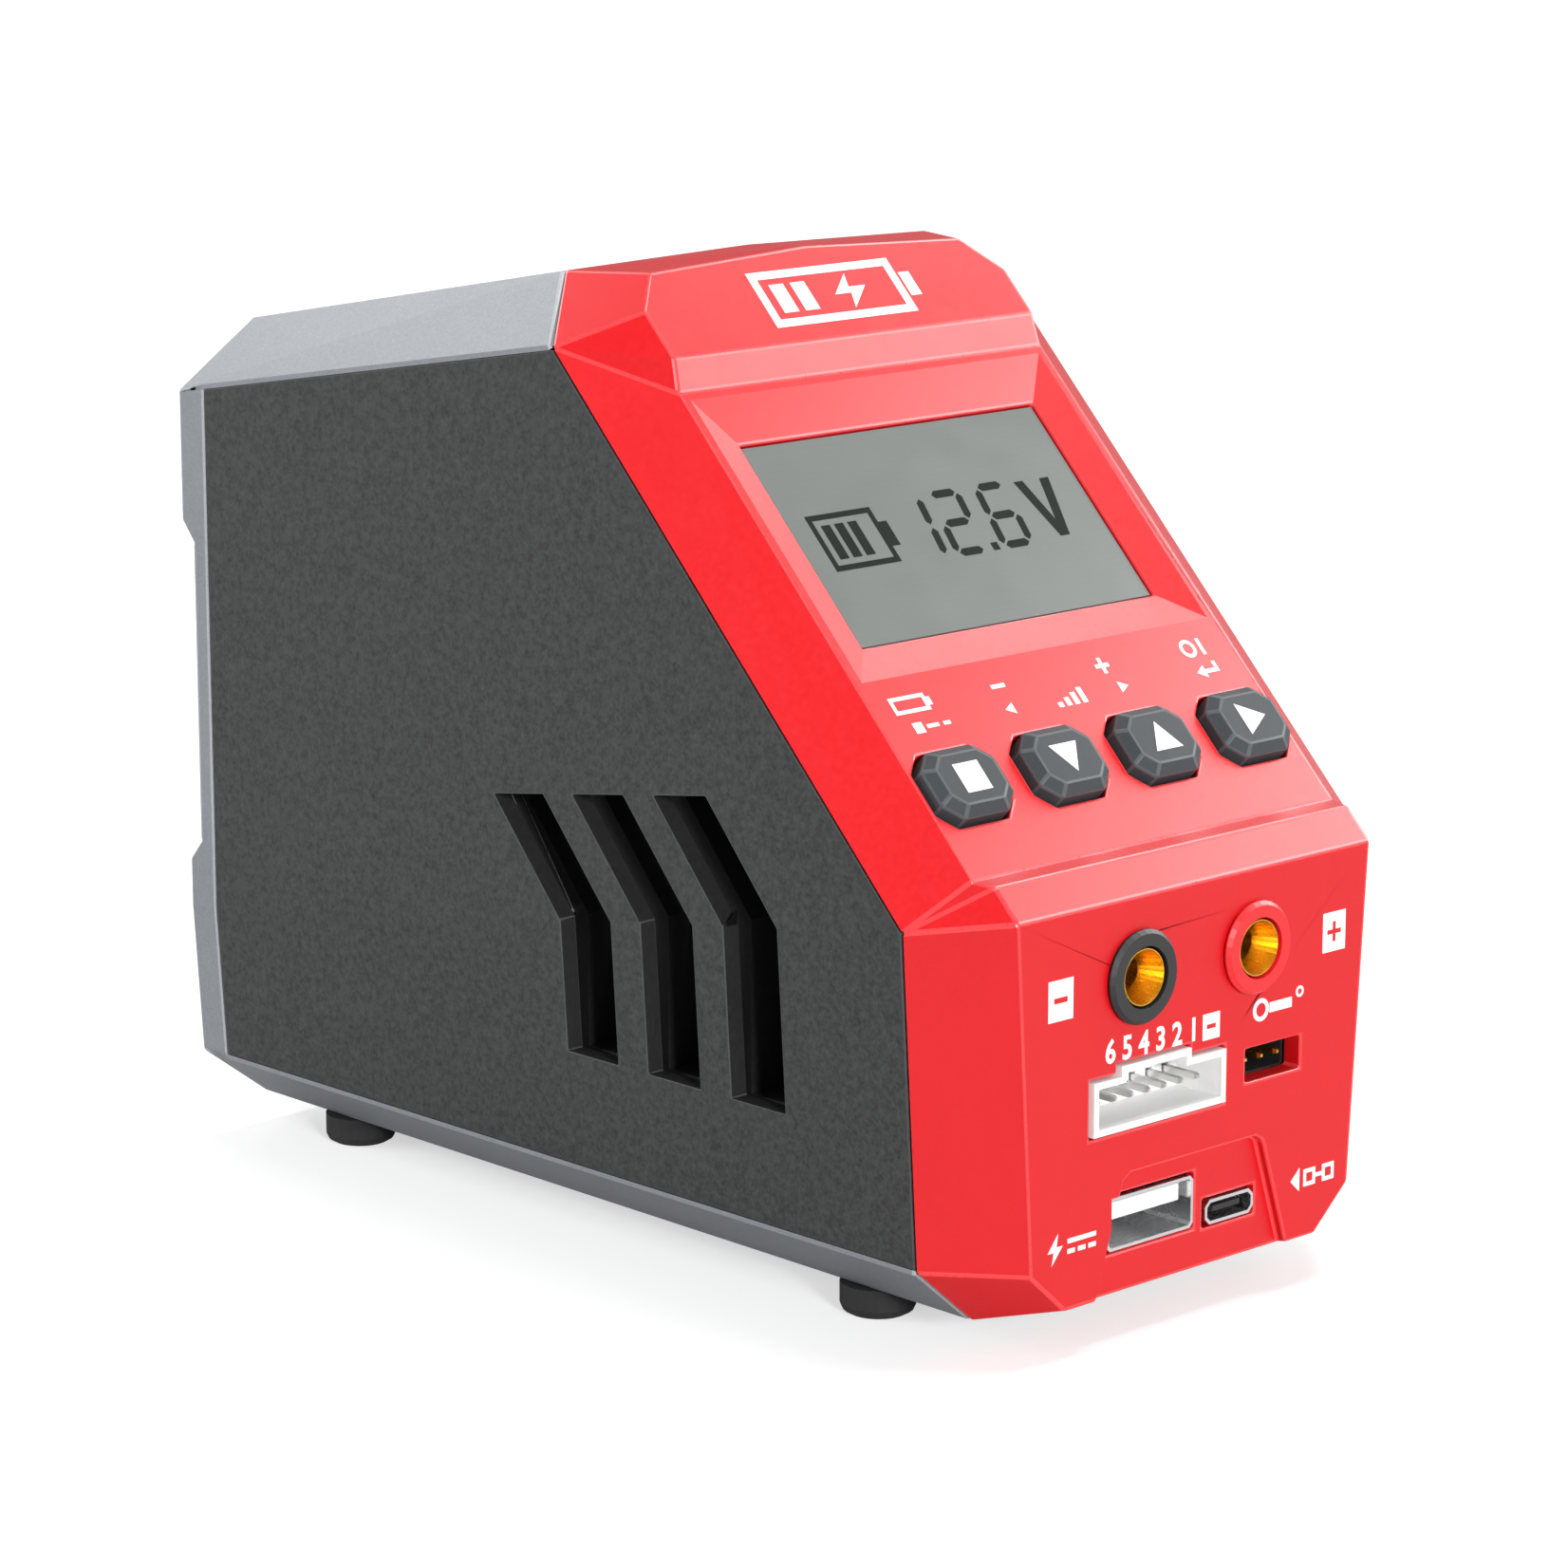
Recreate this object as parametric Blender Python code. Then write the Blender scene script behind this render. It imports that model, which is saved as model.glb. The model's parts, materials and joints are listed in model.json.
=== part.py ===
"""Balance battery charger: red sloped front, silver case, dark side panels, and everything inside.

All sizes are in millimetres and are turned into metres where a mesh is made. +Z is up, the front
faces -Y, and the origin is on the floor under the middle of the case. Three empties carry the parts:
  body frame   x across, y back from the front face, z up from the floor
  front frame  x across, y up from the floor, z out of the front face
  slope frame  x across, y up the control slope, z out of the recessed control panel
"""

import math

import bmesh
import bpy
from mathutils import Matrix, Vector

MM = 0.001

# Overall size
WIDTH = 69.0
DEPTH = 126.0
GAP = 0.3
WALL = 2.4

# Side outline of the case (y from the front face, z from the floor)
FLOOR_Z = 3.65
CHAMFER_Z = 10.35
RIM_Y = 8.4
KNEE_Z = 46.3
SLOPE = math.radians(45.5)
SIDE_TOP_Z = 99.7
SIDE_TOP_Y = 60.8
SIDE_TOP_FALL = 0.1745
ROOF_Z = 106.5
ROOF_Y = 67.3
ROOF_FALL = 0.188
ROOF_CROWN = 0.65
ROOF_HALF = 26.9
BACK_TOP_Y = 122.0
CREASE_FALL = 0.156
SIDE_TAPER = 0.062
FLOOR_HALF = 24.4

# Front shell
NOSE_Z = 47.4
PANEL_INSET = 1.75
PANEL_ORIGIN_Y = 23.0
PANEL_BOTTOM_S = -24.5
PANEL_TOP_S = 37.8
STRIP_RUN = 3.2
RAMP_RUN = 2.0
SHELL_BACKING = 4.6

# Display
LCD_HALF = 21.95
LCD_LOW_S = 4.65
LCD_HIGH_S = 31.1
LCD_SINK = 1.17
LCD_RIM_HALF = 26.0
LCD_RIM_HIGH_S = 36.8

# Keys
KEY_S = -13.9
KEY_X = (-21.2, -7.05, 7.05, 21.2)
KEY_NAMES = ("button_stop", "button_down", "button_up", "button_start")
KEY_SIZE = (10.4, 8.3)
KEY_CORNER = 2.0
KEY_HEIGHT = 1.9
KEY_TRAVEL = 0.6
BOARD_H = -9.0
BOARD_THICK = 1.6

# Sockets on the front face (x, z from the floor)
OUTPUT_X = 8.75
OUTPUT_Z = 38.9
COLLAR_R = 5.0
COLLAR_PROUD = 0.9
CONTACT_R = 3.0
BANANA_R = 2.0
HEADER_AT = (-5.75, 26.0)
HEADER_SIZE = (19.9, 5.75)
HEADER_DEPTH = 8.0
HEADER_RIDGE = (-5.9, 4.6, 1.1)
PIN_PITCH = 2.5
BALANCE_WAYS = 7
TEMP_AT = (12.0, 26.2)
TEMP_SIZE = (8.6, 3.7)
USB_A_AT = (-5.5, 12.7)
USB_A_SIZE = (13.1, 5.7)
MICRO_AT = (6.7, 10.9)
MICRO_SIZE = (7.5, 2.7)
PORT_RECESS = 1.2

# Side panels and vents
PANEL_THICK = 2.2
PANEL_BACK_Y = 121.2
PANEL_FRONT_Y = 8.7
SLOT_COUNT = 3
SLOT_FIRST_Y = 26.7
SLOT_PITCH = 12.85
SLOT_WIDTH = 8.1
SLOT_FLOOR_Z = 23.5
SLOT_SLANT = (10.7, 12.4)
DUCT_DEPTH = 7.4

# Rear
REAR_PANEL_Y = (120.2, 122.4)
NOTCH_Z = (34.8, 72.0)
FAN_AT = (0.0, 58.0)
FAN_SIZE = 40.0
FAN_THICK = 10.0
FAN_HOLE_R = 18.6
FAN_SCREW = 16.0
AC_AT = (9.0, 23.0)
DC_AT = (-15.0, 23.0)

# Inside
BOARD_Z = 8.9
CORNER_NAMES = ("front_left", "front_right", "rear_left", "rear_right")
STANDOFF_XY = ((-19.5, 28.0), (19.5, 28.0), (-19.5, 106.0), (19.5, 106.0))
FOOT_XY = ((-21.2, 25.2), (21.2, 25.2), (-21.2, 112.0), (21.2, 112.0))
FOOT_R = 4.1
SCREW_R = 1.5
POST_BORE_Z = 5.0


def clear_scene():
    for old in list(bpy.data.objects):
        bpy.data.objects.remove(old)


def frame(name, y, z, tilt):
    """An empty that carries the parts of one face."""
    empty = bpy.data.objects.new(name, None)
    bpy.context.scene.collection.objects.link(empty)
    empty.location = Vector((0.0, y - (DEPTH - COLLAR_PROUD) / 2, z)) * MM
    empty.rotation_euler = (tilt, 0.0, 0.0)
    return empty


def material(name, colour, roughness, metallic=0.0):
    mat = bpy.data.materials.new(name)
    mat.use_nodes = True
    shader = mat.node_tree.nodes["Principled BSDF"]
    shader.inputs["Base Color"].default_value = (*colour, 1.0)
    shader.inputs["Roughness"].default_value = roughness
    shader.inputs["Metallic"].default_value = metallic
    return mat


# Meshes

def add_faces(bm, points, faces):
    verts = [bm.verts.new(p) for p in points]
    for face in faces:
        bm.faces.new([verts[i] for i in face])


def add_loft(bm, rings):
    """Skin a row of rings that have the same number of points, and cap both ends."""
    count = len(rings[0])
    verts = [[bm.verts.new(p) for p in ring] for ring in rings]
    for low, high in zip(verts, verts[1:]):
        for i in range(count):
            j = (i + 1) % count
            bm.faces.new((low[i], low[j], high[j], high[i]))
    bm.faces.new(verts[0])
    bm.faces.new(verts[-1])


def add_box(bm, x0, x1, y0, y1, z0, z1):
    ring = ((x0, y0), (x1, y0), (x1, y1), (x0, y1))
    add_loft(bm, [[(x, y, z) for x, y in ring] for z in (z0, z1)])


def add_tube_ring(bm, profile, segments, centre=(0.0, 0.0)):
    """Turn a closed (radius, z) profile that doesn't touch the axis."""
    rings = []
    for i in range(segments):
        turn = 2 * math.pi * i / segments
        cx, cy = math.cos(turn), math.sin(turn)
        rings.append([bm.verts.new((centre[0] + r * cx, centre[1] + r * cy, z)) for r, z in profile])
    for i in range(segments):
        ring, after = rings[i], rings[(i + 1) % segments]
        for k in range(len(profile)):
            m = (k + 1) % len(profile)
            bm.faces.new((ring[k], ring[m], after[m], after[k]))


def circle(radius, segments, centre=(0.0, 0.0)):
    cx, cy = centre
    turns = [2 * math.pi * i / segments for i in range(segments)]
    return [(cx + radius * math.cos(t), cy + radius * math.sin(t)) for t in turns]


def add_turned(bm, profile, segments, centre=(0.0, 0.0)):
    """Stack circles of the given (radius, z) pairs into one capped body."""
    add_loft(bm, [[(x, y, z) for x, y in circle(r, segments, centre)] for r, z in profile])


def rectangle(width, height, corner=0.0, centre=(0.0, 0.0)):
    """A rectangle, with its corners cut off when corner isn't zero."""
    cx, cy = centre
    w, h = width / 2, height / 2
    if not corner:
        return [(cx - w, cy - h), (cx + w, cy - h), (cx + w, cy + h), (cx - w, cy + h)]
    c = corner
    outline = [(-w + c, -h), (w - c, -h), (w, -h + c), (w, h - c)]
    outline += [(-x, -y) for x, y in outline]
    return [(cx + x, cy + y) for x, y in outline]


def level(outline, height):
    return [(x, y, height) for x, y in outline]


def across(outline, x):
    """Stand an outline of (y, z) points up at one x."""
    return [(x, y, z) for y, z in outline]


def mesh_object(name, bm, mat, parent, at=(0.0, 0.0, 0.0), smooth=False):
    bmesh.ops.recalc_face_normals(bm, faces=bm.faces)
    bmesh.ops.scale(bm, vec=(MM, MM, MM), verts=bm.verts)
    mesh = bpy.data.meshes.new(name)
    bm.to_mesh(mesh)
    bm.free()
    mesh.materials.append(mat)
    obj = bpy.data.objects.new(name, mesh)
    bpy.context.scene.collection.objects.link(obj)
    obj.parent = parent
    obj.location = Vector(at) * MM
    if smooth:
        mesh.shade_smooth()
        mesh.set_sharp_from_angle(angle=math.radians(35))
    return obj


def lofted(name, rings, mat, parent, at=(0.0, 0.0, 0.0), smooth=False):
    bm = bmesh.new()
    add_loft(bm, rings)
    return mesh_object(name, bm, mat, parent, at, smooth)


def turned(name, profile, segments, mat, parent, at=(0.0, 0.0, 0.0)):
    bm = bmesh.new()
    add_turned(bm, profile, segments)
    return mesh_object(name, bm, mat, parent, at, smooth=True)


def turned_ring(name, profile, segments, mat, parent, at=(0.0, 0.0, 0.0)):
    bm = bmesh.new()
    add_tube_ring(bm, profile, segments)
    return mesh_object(name, bm, mat, parent, at, smooth=True)


def hull(name, points, mat, parent):
    bm = bmesh.new()
    for p in points:
        bm.verts.new(p)
    made = bmesh.ops.convex_hull(bm, input=bm.verts)
    loose = [v for v in made["geom_interior"] if isinstance(v, bmesh.types.BMVert)]
    bmesh.ops.delete(bm, geom=loose, context="VERTS")
    return mesh_object(name, bm, mat, parent)


def combine(target, tool, operation="DIFFERENCE"):
    """Cut, keep or add with another object, which then only guides the shape."""
    tool.hide_render = True
    tool.display_type = "WIRE"
    step = target.modifiers.new(tool.name, "BOOLEAN")
    step.operation = operation
    step.solver = "EXACT"
    step.object = tool


# Outlines of the case

def slope_y(z, height=0.0):
    """Where the hood plane, lifted by height along its normal, passes the level z."""
    return (z - NOSE_Z - height / math.cos(SLOPE)) / math.tan(SLOPE)


def hood_z(y, height=0.0):
    return NOSE_Z + height / math.cos(SLOPE) + y * math.tan(SLOPE)


def crease_z(y):
    return KNEE_Z - CREASE_FALL * (y - RIM_Y)


def side_x(y, z):
    """Half-width of the side faces: upright above the crease, tapered below it."""
    return WIDTH / 2 - SIDE_TAPER * max(0.0, crease_z(y) - z)


def rim_height():
    """Height of the rim plane of the front shell over the hood plane (negative)."""
    return (KNEE_Z - hood_z(RIM_Y)) * math.cos(SLOPE)


def meet(y_ref, z_ref, fall, height):
    """Where a line that falls to the back crosses the slope plane at the given height."""
    base = hood_z(0.0, height)
    y = (z_ref + fall * y_ref - base) / (math.tan(SLOPE) + fall)
    return y, hood_z(y, height)


def mirrored(points):
    return [(-x, y, z) for x, y, z in points]


def case_points(inset_side, inset_z, front_y, height, back_y):
    """Corner points of the right half of the case, pulled in by the given insets."""
    side = inset_side
    low = FLOOR_Z + inset_z
    shoulder = CHAMFER_Z + inset_z * 0.6
    roof = ROOF_Z - inset_z
    top_side = meet(SIDE_TOP_Y, SIDE_TOP_Z - inset_z * 0.8, SIDE_TOP_FALL, height)
    top_roof = meet(ROOF_Y, roof, ROOF_FALL, height)
    top_mid = meet(ROOF_Y, roof + ROOF_CROWN, ROOF_FALL, height)
    knee = hood_z(front_y, height)
    back_roof_y = min(back_y, BACK_TOP_Y)
    back_roof = roof - ROOF_FALL * (back_roof_y - ROOF_Y)
    back_side = SIDE_TOP_Z - inset_z * 0.8 - SIDE_TOP_FALL * (back_y - SIDE_TOP_Y)
    half = WIDTH / 2 - side
    return [
        (FLOOR_HALF - side * 0.5, front_y, low),
        (side_x(front_y, CHAMFER_Z) - side, front_y, shoulder),
        (half, front_y, knee),
        (half, top_side[0], top_side[1]),
        (ROOF_HALF - side * 0.6, top_roof[0], top_roof[1]),
        (0.0, top_mid[0], top_mid[1]),
        (0.0, back_roof_y, back_roof + ROOF_CROWN),
        (ROOF_HALF - side * 0.6, back_roof_y, back_roof),
        (half, back_y, back_side),
        (half, back_y, crease_z(back_y)),
        (side_x(back_y, CHAMFER_Z) - side, back_y, shoulder),
        (FLOOR_HALF - side * 0.5, back_y, low),
    ]


# Front shell

def front_edge():
    """Right-hand points of the front outline, from the bottom up to the middle of the hood."""
    ca, sa = math.cos(SLOPE), math.sin(SLOPE)
    panel_z = hood_z(PANEL_ORIGIN_Y, -PANEL_INSET)

    def on_slope(x, s, h):
        return (x, PANEL_ORIGIN_Y + s * ca - h * sa, panel_z + s * sa + h * ca)

    return {
        "bottom": (19.2, 0.0, 5.5),
        "lower": (24.3, 0.0, 10.1),
        "nose": (26.65, 0.0, NOSE_Z),
        "kink": on_slope(26.7, PANEL_BOTTOM_S - RAMP_RUN, PANEL_INSET),
        "groove": on_slope(27.3, PANEL_BOTTOM_S, 0.0),
        "strip": on_slope(27.0, PANEL_TOP_S, 0.0),
        "lip": on_slope(26.7, PANEL_TOP_S + STRIP_RUN, PANEL_INSET),
        "cheek": (26.7, slope_y(103.3), 103.3),
        "brow": (22.9, slope_y(106.7), 106.7),
        "crown": (0.0, slope_y(107.6), 107.6),
    }


def rim_edge():
    """Right-hand points of the rim where the front shell meets the case."""
    height = rim_height()
    side = meet(SIDE_TOP_Y, SIDE_TOP_Z, SIDE_TOP_FALL, height)
    roof = meet(ROOF_Y, ROOF_Z, ROOF_FALL, height)
    crown = meet(ROOF_Y, ROOF_Z + ROOF_CROWN, ROOF_FALL, height)
    return {
        "r_floor": (FLOOR_HALF, RIM_Y, FLOOR_Z),
        "r_lower": (side_x(RIM_Y, CHAMFER_Z), RIM_Y, CHAMFER_Z),
        "r_knee": (WIDTH / 2, RIM_Y, KNEE_Z),
        "r_side": (WIDTH / 2, side[0], side[1]),
        "r_roof": (ROOF_HALF, roof[0], roof[1]),
        "r_crown": (0.0, crown[0], crown[1]),
    }


def front_shell(mat):
    """A folded frustum: the front outline, the wider rim behind it, and facets between them."""
    right = {**front_edge(), **rim_edge()}
    names = list(right)
    points = [right[n] for n in names] + mirrored([right[n] for n in names])

    def r(*keys):
        return [names.index(k) for k in keys]

    def l(*keys):
        return [names.index(k) + (0 if k.endswith("crown") else len(names)) for k in keys]

    faces = [
        r("bottom", "lower", "nose") + l("nose", "lower", "bottom"),
        r("nose", "kink") + l("kink", "nose"),
        r("kink", "groove") + l("groove", "kink"),
        r("groove", "strip") + l("strip", "groove"),
        r("strip", "lip") + l("lip", "strip"),
        r("lip", "cheek", "brow", "crown") + l("brow", "cheek", "lip"),
        r("r_floor", "r_lower", "r_knee") + l("r_knee", "r_lower", "r_floor"),
        r("r_knee", "r_side", "r_roof", "r_crown") + l("r_roof", "r_side", "r_knee"),
        r("bottom", "r_floor") + l("r_floor", "bottom"),
    ]
    for side in (r, l):
        faces += [
            side("bottom", "lower", "r_floor"), side("lower", "r_lower", "r_floor"),
            side("lower", "nose", "r_lower"), side("nose", "r_knee", "r_lower"),
            side("nose", "kink", "r_knee"), side("kink", "groove", "r_knee"),
            side("groove", "strip", "r_knee"), side("strip", "r_side", "r_knee"),
            side("strip", "lip", "r_side"), side("lip", "cheek", "r_side"),
            side("cheek", "brow", "r_side"), side("brow", "r_roof", "r_side"),
            side("brow", "crown", "r_roof"), side("crown", "r_crown", "r_roof"),
        ]
    bm = bmesh.new()
    add_faces(bm, points, faces)
    bmesh.ops.delete(bm, geom=[v for v in bm.verts if not v.link_faces], context="VERTS")
    shell = mesh_object("front_shell", bm, mat, BODY)
    combine(shell, front_cavity(mat))
    combine(shell, display_recess(mat))
    lcd_middle = (0.0, (LCD_LOW_S + LCD_HIGH_S) / 2)
    window = rectangle(2 * LCD_HALF, LCD_HIGH_S - LCD_LOW_S, centre=lcd_middle)
    window_rings = [level(window, -5.2), level(window, -LCD_SINK + 0.4)]
    combine(shell, lofted("cut_window", window_rings, mat, SLOPE_FRAME))
    combine(shell, key_holes(mat))
    combine(shell, port_recess(mat))
    combine(shell, front_holes(mat))
    return shell


def front_cavity(mat):
    """The hollow behind the front: open to the back, a wall thick everywhere else."""
    top = meet(ROOF_Y, ROOF_Z - 4.0, ROOF_FALL, -SHELL_BACKING)
    side_high = hood_z(50.5, -SHELL_BACKING)
    front = [
        (18.2, WALL, 8.0),
        (23.0, WALL, 11.8),
        (25.6, WALL, hood_z(WALL, -SHELL_BACKING)),
        (28.0, 16.0, hood_z(16.0, -SHELL_BACKING)),
        (28.0, 50.5, side_high),
        (20.5, top[0] - 4.0, hood_z(top[0] - 4.0, -SHELL_BACKING)),
    ]
    back = [(x + 3.8, y + 6.0, z) for x, y, z in front[1:]] + [(22.0, WALL + 6.0, 6.2)]
    far = [(x, y + 9.0, z) for x, y, z in back]
    half = front + back + far
    return hull("cut_front_cavity", half + mirrored(half), mat, BODY)


def display_recess(mat):
    """Four sloping walls that lead down from the control panel to the display."""
    lift = 0.05
    grow = lift * (LCD_RIM_HALF - LCD_HALF) / LCD_SINK
    wide, high = LCD_RIM_HALF + grow, LCD_RIM_HIGH_S + grow
    outer = [(-wide, -grow), (wide, -grow), (wide, high), (-wide, high)]
    low, high = LCD_LOW_S, LCD_HIGH_S
    inner = [(-LCD_HALF, low), (LCD_HALF, low), (LCD_HALF, high), (-LCD_HALF, high)]
    return lofted("cut_display", [level(inner, -LCD_SINK), level(outer, lift)], mat, SLOPE_FRAME)


def key_holes(mat):
    bm = bmesh.new()
    for x in KEY_X:
        hole = rectangle(KEY_SIZE[0] + 0.7, KEY_SIZE[1] + 0.7, KEY_CORNER, (x, KEY_S))
        add_loft(bm, [level(hole, -5.2), level(hole, 1.0)])
    return mesh_object("cut_keys", bm, mat, SLOPE_FRAME)


def port_recess(mat):
    """The shallow pocket round the two USB ports, open at the bottom edge."""
    outline = [(-9.6, 18.2), (-10.7, 17.5), (-15.4, 3.0), (15.4, 3.0), (10.7, 17.5), (9.6, 18.2)]
    return lofted("cut_ports", [level(outline, -PORT_RECESS), level(outline, 1.0)], mat, FRONT)


def header_outline(grow):
    """The balance socket seen from the front: a rectangle with a raised keying ridge on top."""
    x, y = HEADER_AT
    w, h = HEADER_SIZE[0] / 2 + grow, HEADER_SIZE[1] / 2 + grow
    near, far, lift = HEADER_RIDGE
    ridge = [(far + grow, h), (far + grow, h + lift), (near - grow, h + lift), (near - grow, h)]
    outline = [(-w, -h), (w, -h), (w, h)] + ridge + [(-w, h)]
    return [(x + a, y + b) for a, b in outline]


def front_holes(mat):
    """Through holes for the two outputs, the two pin sockets and the two USB ports."""
    bm = bmesh.new()
    deep = -(WALL + 4.0)
    for x in (-OUTPUT_X, OUTPUT_X):
        add_turned(bm, [(COLLAR_R - 0.4, deep), (COLLAR_R - 0.4, 1.0)], 32, (x, OUTPUT_Z))
    holes = [header_outline(GAP), rectangle(*TEMP_SIZE, centre=TEMP_AT)]
    for size, centre in ((USB_A_SIZE, USB_A_AT), (MICRO_SIZE, MICRO_AT)):
        holes.append(rectangle(size[0] + 2 * GAP, size[1] + 2 * GAP, centre=centre))
    for hole in holes:
        add_loft(bm, [level(hole, deep), level(hole, 1.0)])
    return mesh_object("cut_front_holes", bm, mat, FRONT)


# Case and side panels

def side_outline(grow):
    """Corners (y, z) of a side panel, with the crease at its two ends, grown by a margin."""
    height = rim_height() - GAP
    front = PANEL_FRONT_Y - grow
    back = PANEL_BACK_Y + grow
    top = meet(SIDE_TOP_Y, SIDE_TOP_Z - 0.35 + grow, SIDE_TOP_FALL, height + grow)
    top_back = SIDE_TOP_Z - 0.35 + grow - SIDE_TOP_FALL * (back - SIDE_TOP_Y)
    return [
        (front, CHAMFER_Z + 0.35 - grow),
        (front, hood_z(front, height + grow)),
        top,
        (back, top_back),
        (back, crease_z(back)),
        (back, CHAMFER_Z + 0.35 - grow),
    ]


def side_slab(name, mat, grow, inner, outer, sign):
    """A plate that follows the side face: upright above the crease and tapered below it."""
    outline = side_outline(grow)
    rings = []
    for depth in (inner, outer):
        rings.append([(sign * (side_x(y, z) - depth), y, z) for y, z in outline])
    count = len(outline)
    points = rings[0] + rings[1]
    faces = [(i, (i + 1) % count, (i + 1) % count + count, i + count) for i in range(count)]
    for base in (0, count):
        faces.append([base + i for i in (1, 2, 3, 4)])
        faces.append([base + i for i in (0, 1, 4, 5)])
    bm = bmesh.new()
    add_faces(bm, points, faces)
    return mesh_object(name, bm, mat, BODY)


def slot_outline(index):
    """One chevron vent: a slanted upper half and an upright lower half."""
    near = SLOT_FIRST_Y + index * SLOT_PITCH
    far = near + SLOT_WIDTH
    run, rise = SLOT_SLANT
    lift = CREASE_FALL * run
    return [
        (near, SLOT_FLOOR_Z), (far, SLOT_FLOOR_Z), (far, crease_z(far)),
        (far + run, crease_z(far) + rise - lift * 0.2), (near + run, crease_z(near) + rise - lift * 0.2),
        (near, crease_z(near)),
    ]


def slot_cutter(name, mat):
    bm = bmesh.new()
    for index in range(SLOT_COUNT):
        outline = slot_outline(index)
        add_loft(bm, [across(outline, -WIDTH), across(outline, WIDTH)])
    return mesh_object(name, bm, mat, BODY)


def duct_outline(grow):
    """The block that holds the three vent channels of one side."""
    near = slot_outline(0)
    far = slot_outline(SLOT_COUNT - 1)
    edge = 2.2 + grow
    low = SLOT_FLOOR_Z - edge
    high_near, high_far = near[4], far[3]
    return [
        (near[0][0] - edge, low), (far[1][0] + edge, low), (far[2][0] + edge, far[2][1]),
        (high_far[0] + edge, high_far[1] + edge), (high_near[0] - edge, high_near[1] + edge),
        (near[5][0] - edge, near[5][1]),
    ]


def case_shell(mat):
    height = rim_height() - GAP
    outer = case_points(0.0, 0.0, RIM_Y + GAP, height, DEPTH)
    shell = hull("case_shell", outer + mirrored(outer), mat, BODY)
    combine(shell, case_cavity("cut_case_cavity", mat, 0.0, 4.0))
    for sign, side in ((-1, "left"), (1, "right")):
        combine(shell, side_slab("cut_pocket_" + side, mat, GAP, PANEL_THICK + GAP, -3.0, sign))
        duct = duct_outline(GAP)
        inner, outer_x = sign * 20.0, sign * WIDTH
        combine(shell, lofted("cut_duct_" + side, [across(duct, inner), across(duct, outer_x)], mat, BODY))
    combine(shell, notch_cutter(mat))
    combine(shell, board_posts(mat), "UNION")
    return shell


def case_cavity(name, mat, shrink, past):
    """The space inside the case, open at the front and at the back."""
    inset = 4.3 + shrink
    half = case_points(inset, WALL + shrink, RIM_Y - past, rim_height() + past, DEPTH + past)
    return hull(name, half + mirrored(half), mat, BODY)


def notch_cutter(mat):
    """Steps back the rear edge between two heights, with short ramps at its ends."""
    low, high = NOTCH_Z
    edge = DEPTH + 1.0
    deep = DEPTH - 2.1
    ramp = 3.0
    outline = [(edge, low - ramp), (DEPTH, low - ramp * 0.4), (deep, low + ramp * 0.4)]
    outline += [(deep, high - ramp * 0.4), (DEPTH, high + ramp * 0.4), (edge, high + ramp)]
    return lofted("cut_notch", [across(outline, -WIDTH), across(outline, WIDTH)], mat, BODY)


def board_posts(mat):
    """Four hollow posts that stand on the floor of the case and carry the main board."""
    bm = bmesh.new()
    bore, top = SCREW_R + 0.4, BOARD_Z - GAP
    post = [(bore, POST_BORE_Z), (3.2, FLOOR_Z + 1.0), (3.2, top), (bore, top)]
    for xy in STANDOFF_XY:
        add_tube_ring(bm, post, 20, xy)
    return mesh_object("add_posts", bm, mat, BODY)


def side_panels(mat):
    for sign, side in ((-1, "left"), (1, "right")):
        panel = side_slab(side + "_side_panel", mat, 0.0, PANEL_THICK, 0.0, sign)
        combine(panel, slot_cutter("cut_slots_" + side, mat))


def vent_ducts(mat):
    for sign, side in ((-1, "left"), (1, "right")):
        skin = side_x(SLOT_FIRST_Y, SLOT_FLOOR_Z) - PANEL_THICK - 2 * GAP
        outline = duct_outline(0.0)
        rings = [across(outline, sign * (skin - DUCT_DEPTH)), across(outline, sign * skin)]
        duct = lofted(side + "_vent_duct", rings, mat, BODY)
        combine(duct, slot_cutter("cut_channels_" + side, mat))


# Rear

def rear_panel(mat):
    """A plate behind the rim, bent forward at the top to follow the case."""
    panel = case_cavity("rear_panel", mat, GAP, 3.0)
    front, back = REAR_PANEL_Y
    bend_z = 84.0
    lean = 3.2
    outline = [(front, 0.0), (back, 0.0), (back, bend_z)]
    outline += [(back - lean, 110.0), (front - lean, 110.0), (front, bend_z)]
    slab = lofted("keep_rear_slab", [across(outline, -WIDTH), across(outline, WIDTH)], mat, BODY)
    combine(panel, slab, "INTERSECT")
    bm = bmesh.new()
    add_turned(bm, [(FAN_HOLE_R, 100.0), (FAN_HOLE_R, 130.0)], 40, (FAN_AT[0], -FAN_AT[1]))
    for x, z in fan_corners():
        add_turned(bm, [(1.9, 100.0), (1.9, 130.0)], 16, (x, -z))
    add_loft(bm, [level(ac_outline(GAP, -1), 100.0), level(ac_outline(GAP, -1), 130.0)])
    add_turned(bm, [(4.9, 100.0), (4.9, 130.0)], 24, (DC_AT[0], -DC_AT[1]))
    holes = mesh_object("cut_rear_holes", bm, mat, BODY)
    holes.rotation_euler = (-math.pi / 2, 0.0, 0.0)
    combine(panel, holes)
    return panel


def fan_corners():
    x, z = FAN_AT
    return [(x + dx * FAN_SCREW, z + dz * FAN_SCREW) for dx in (-1, 1) for dz in (-1, 1)]


def ac_outline(grow, flip=1):
    """Figure-eight style inlet body as a rectangle with cut corners; flip suits a turned frame."""
    return rectangle(15.6 + 2 * grow, 9.4 + 2 * grow, 3.0, (AC_AT[0], flip * AC_AT[1]))


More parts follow.
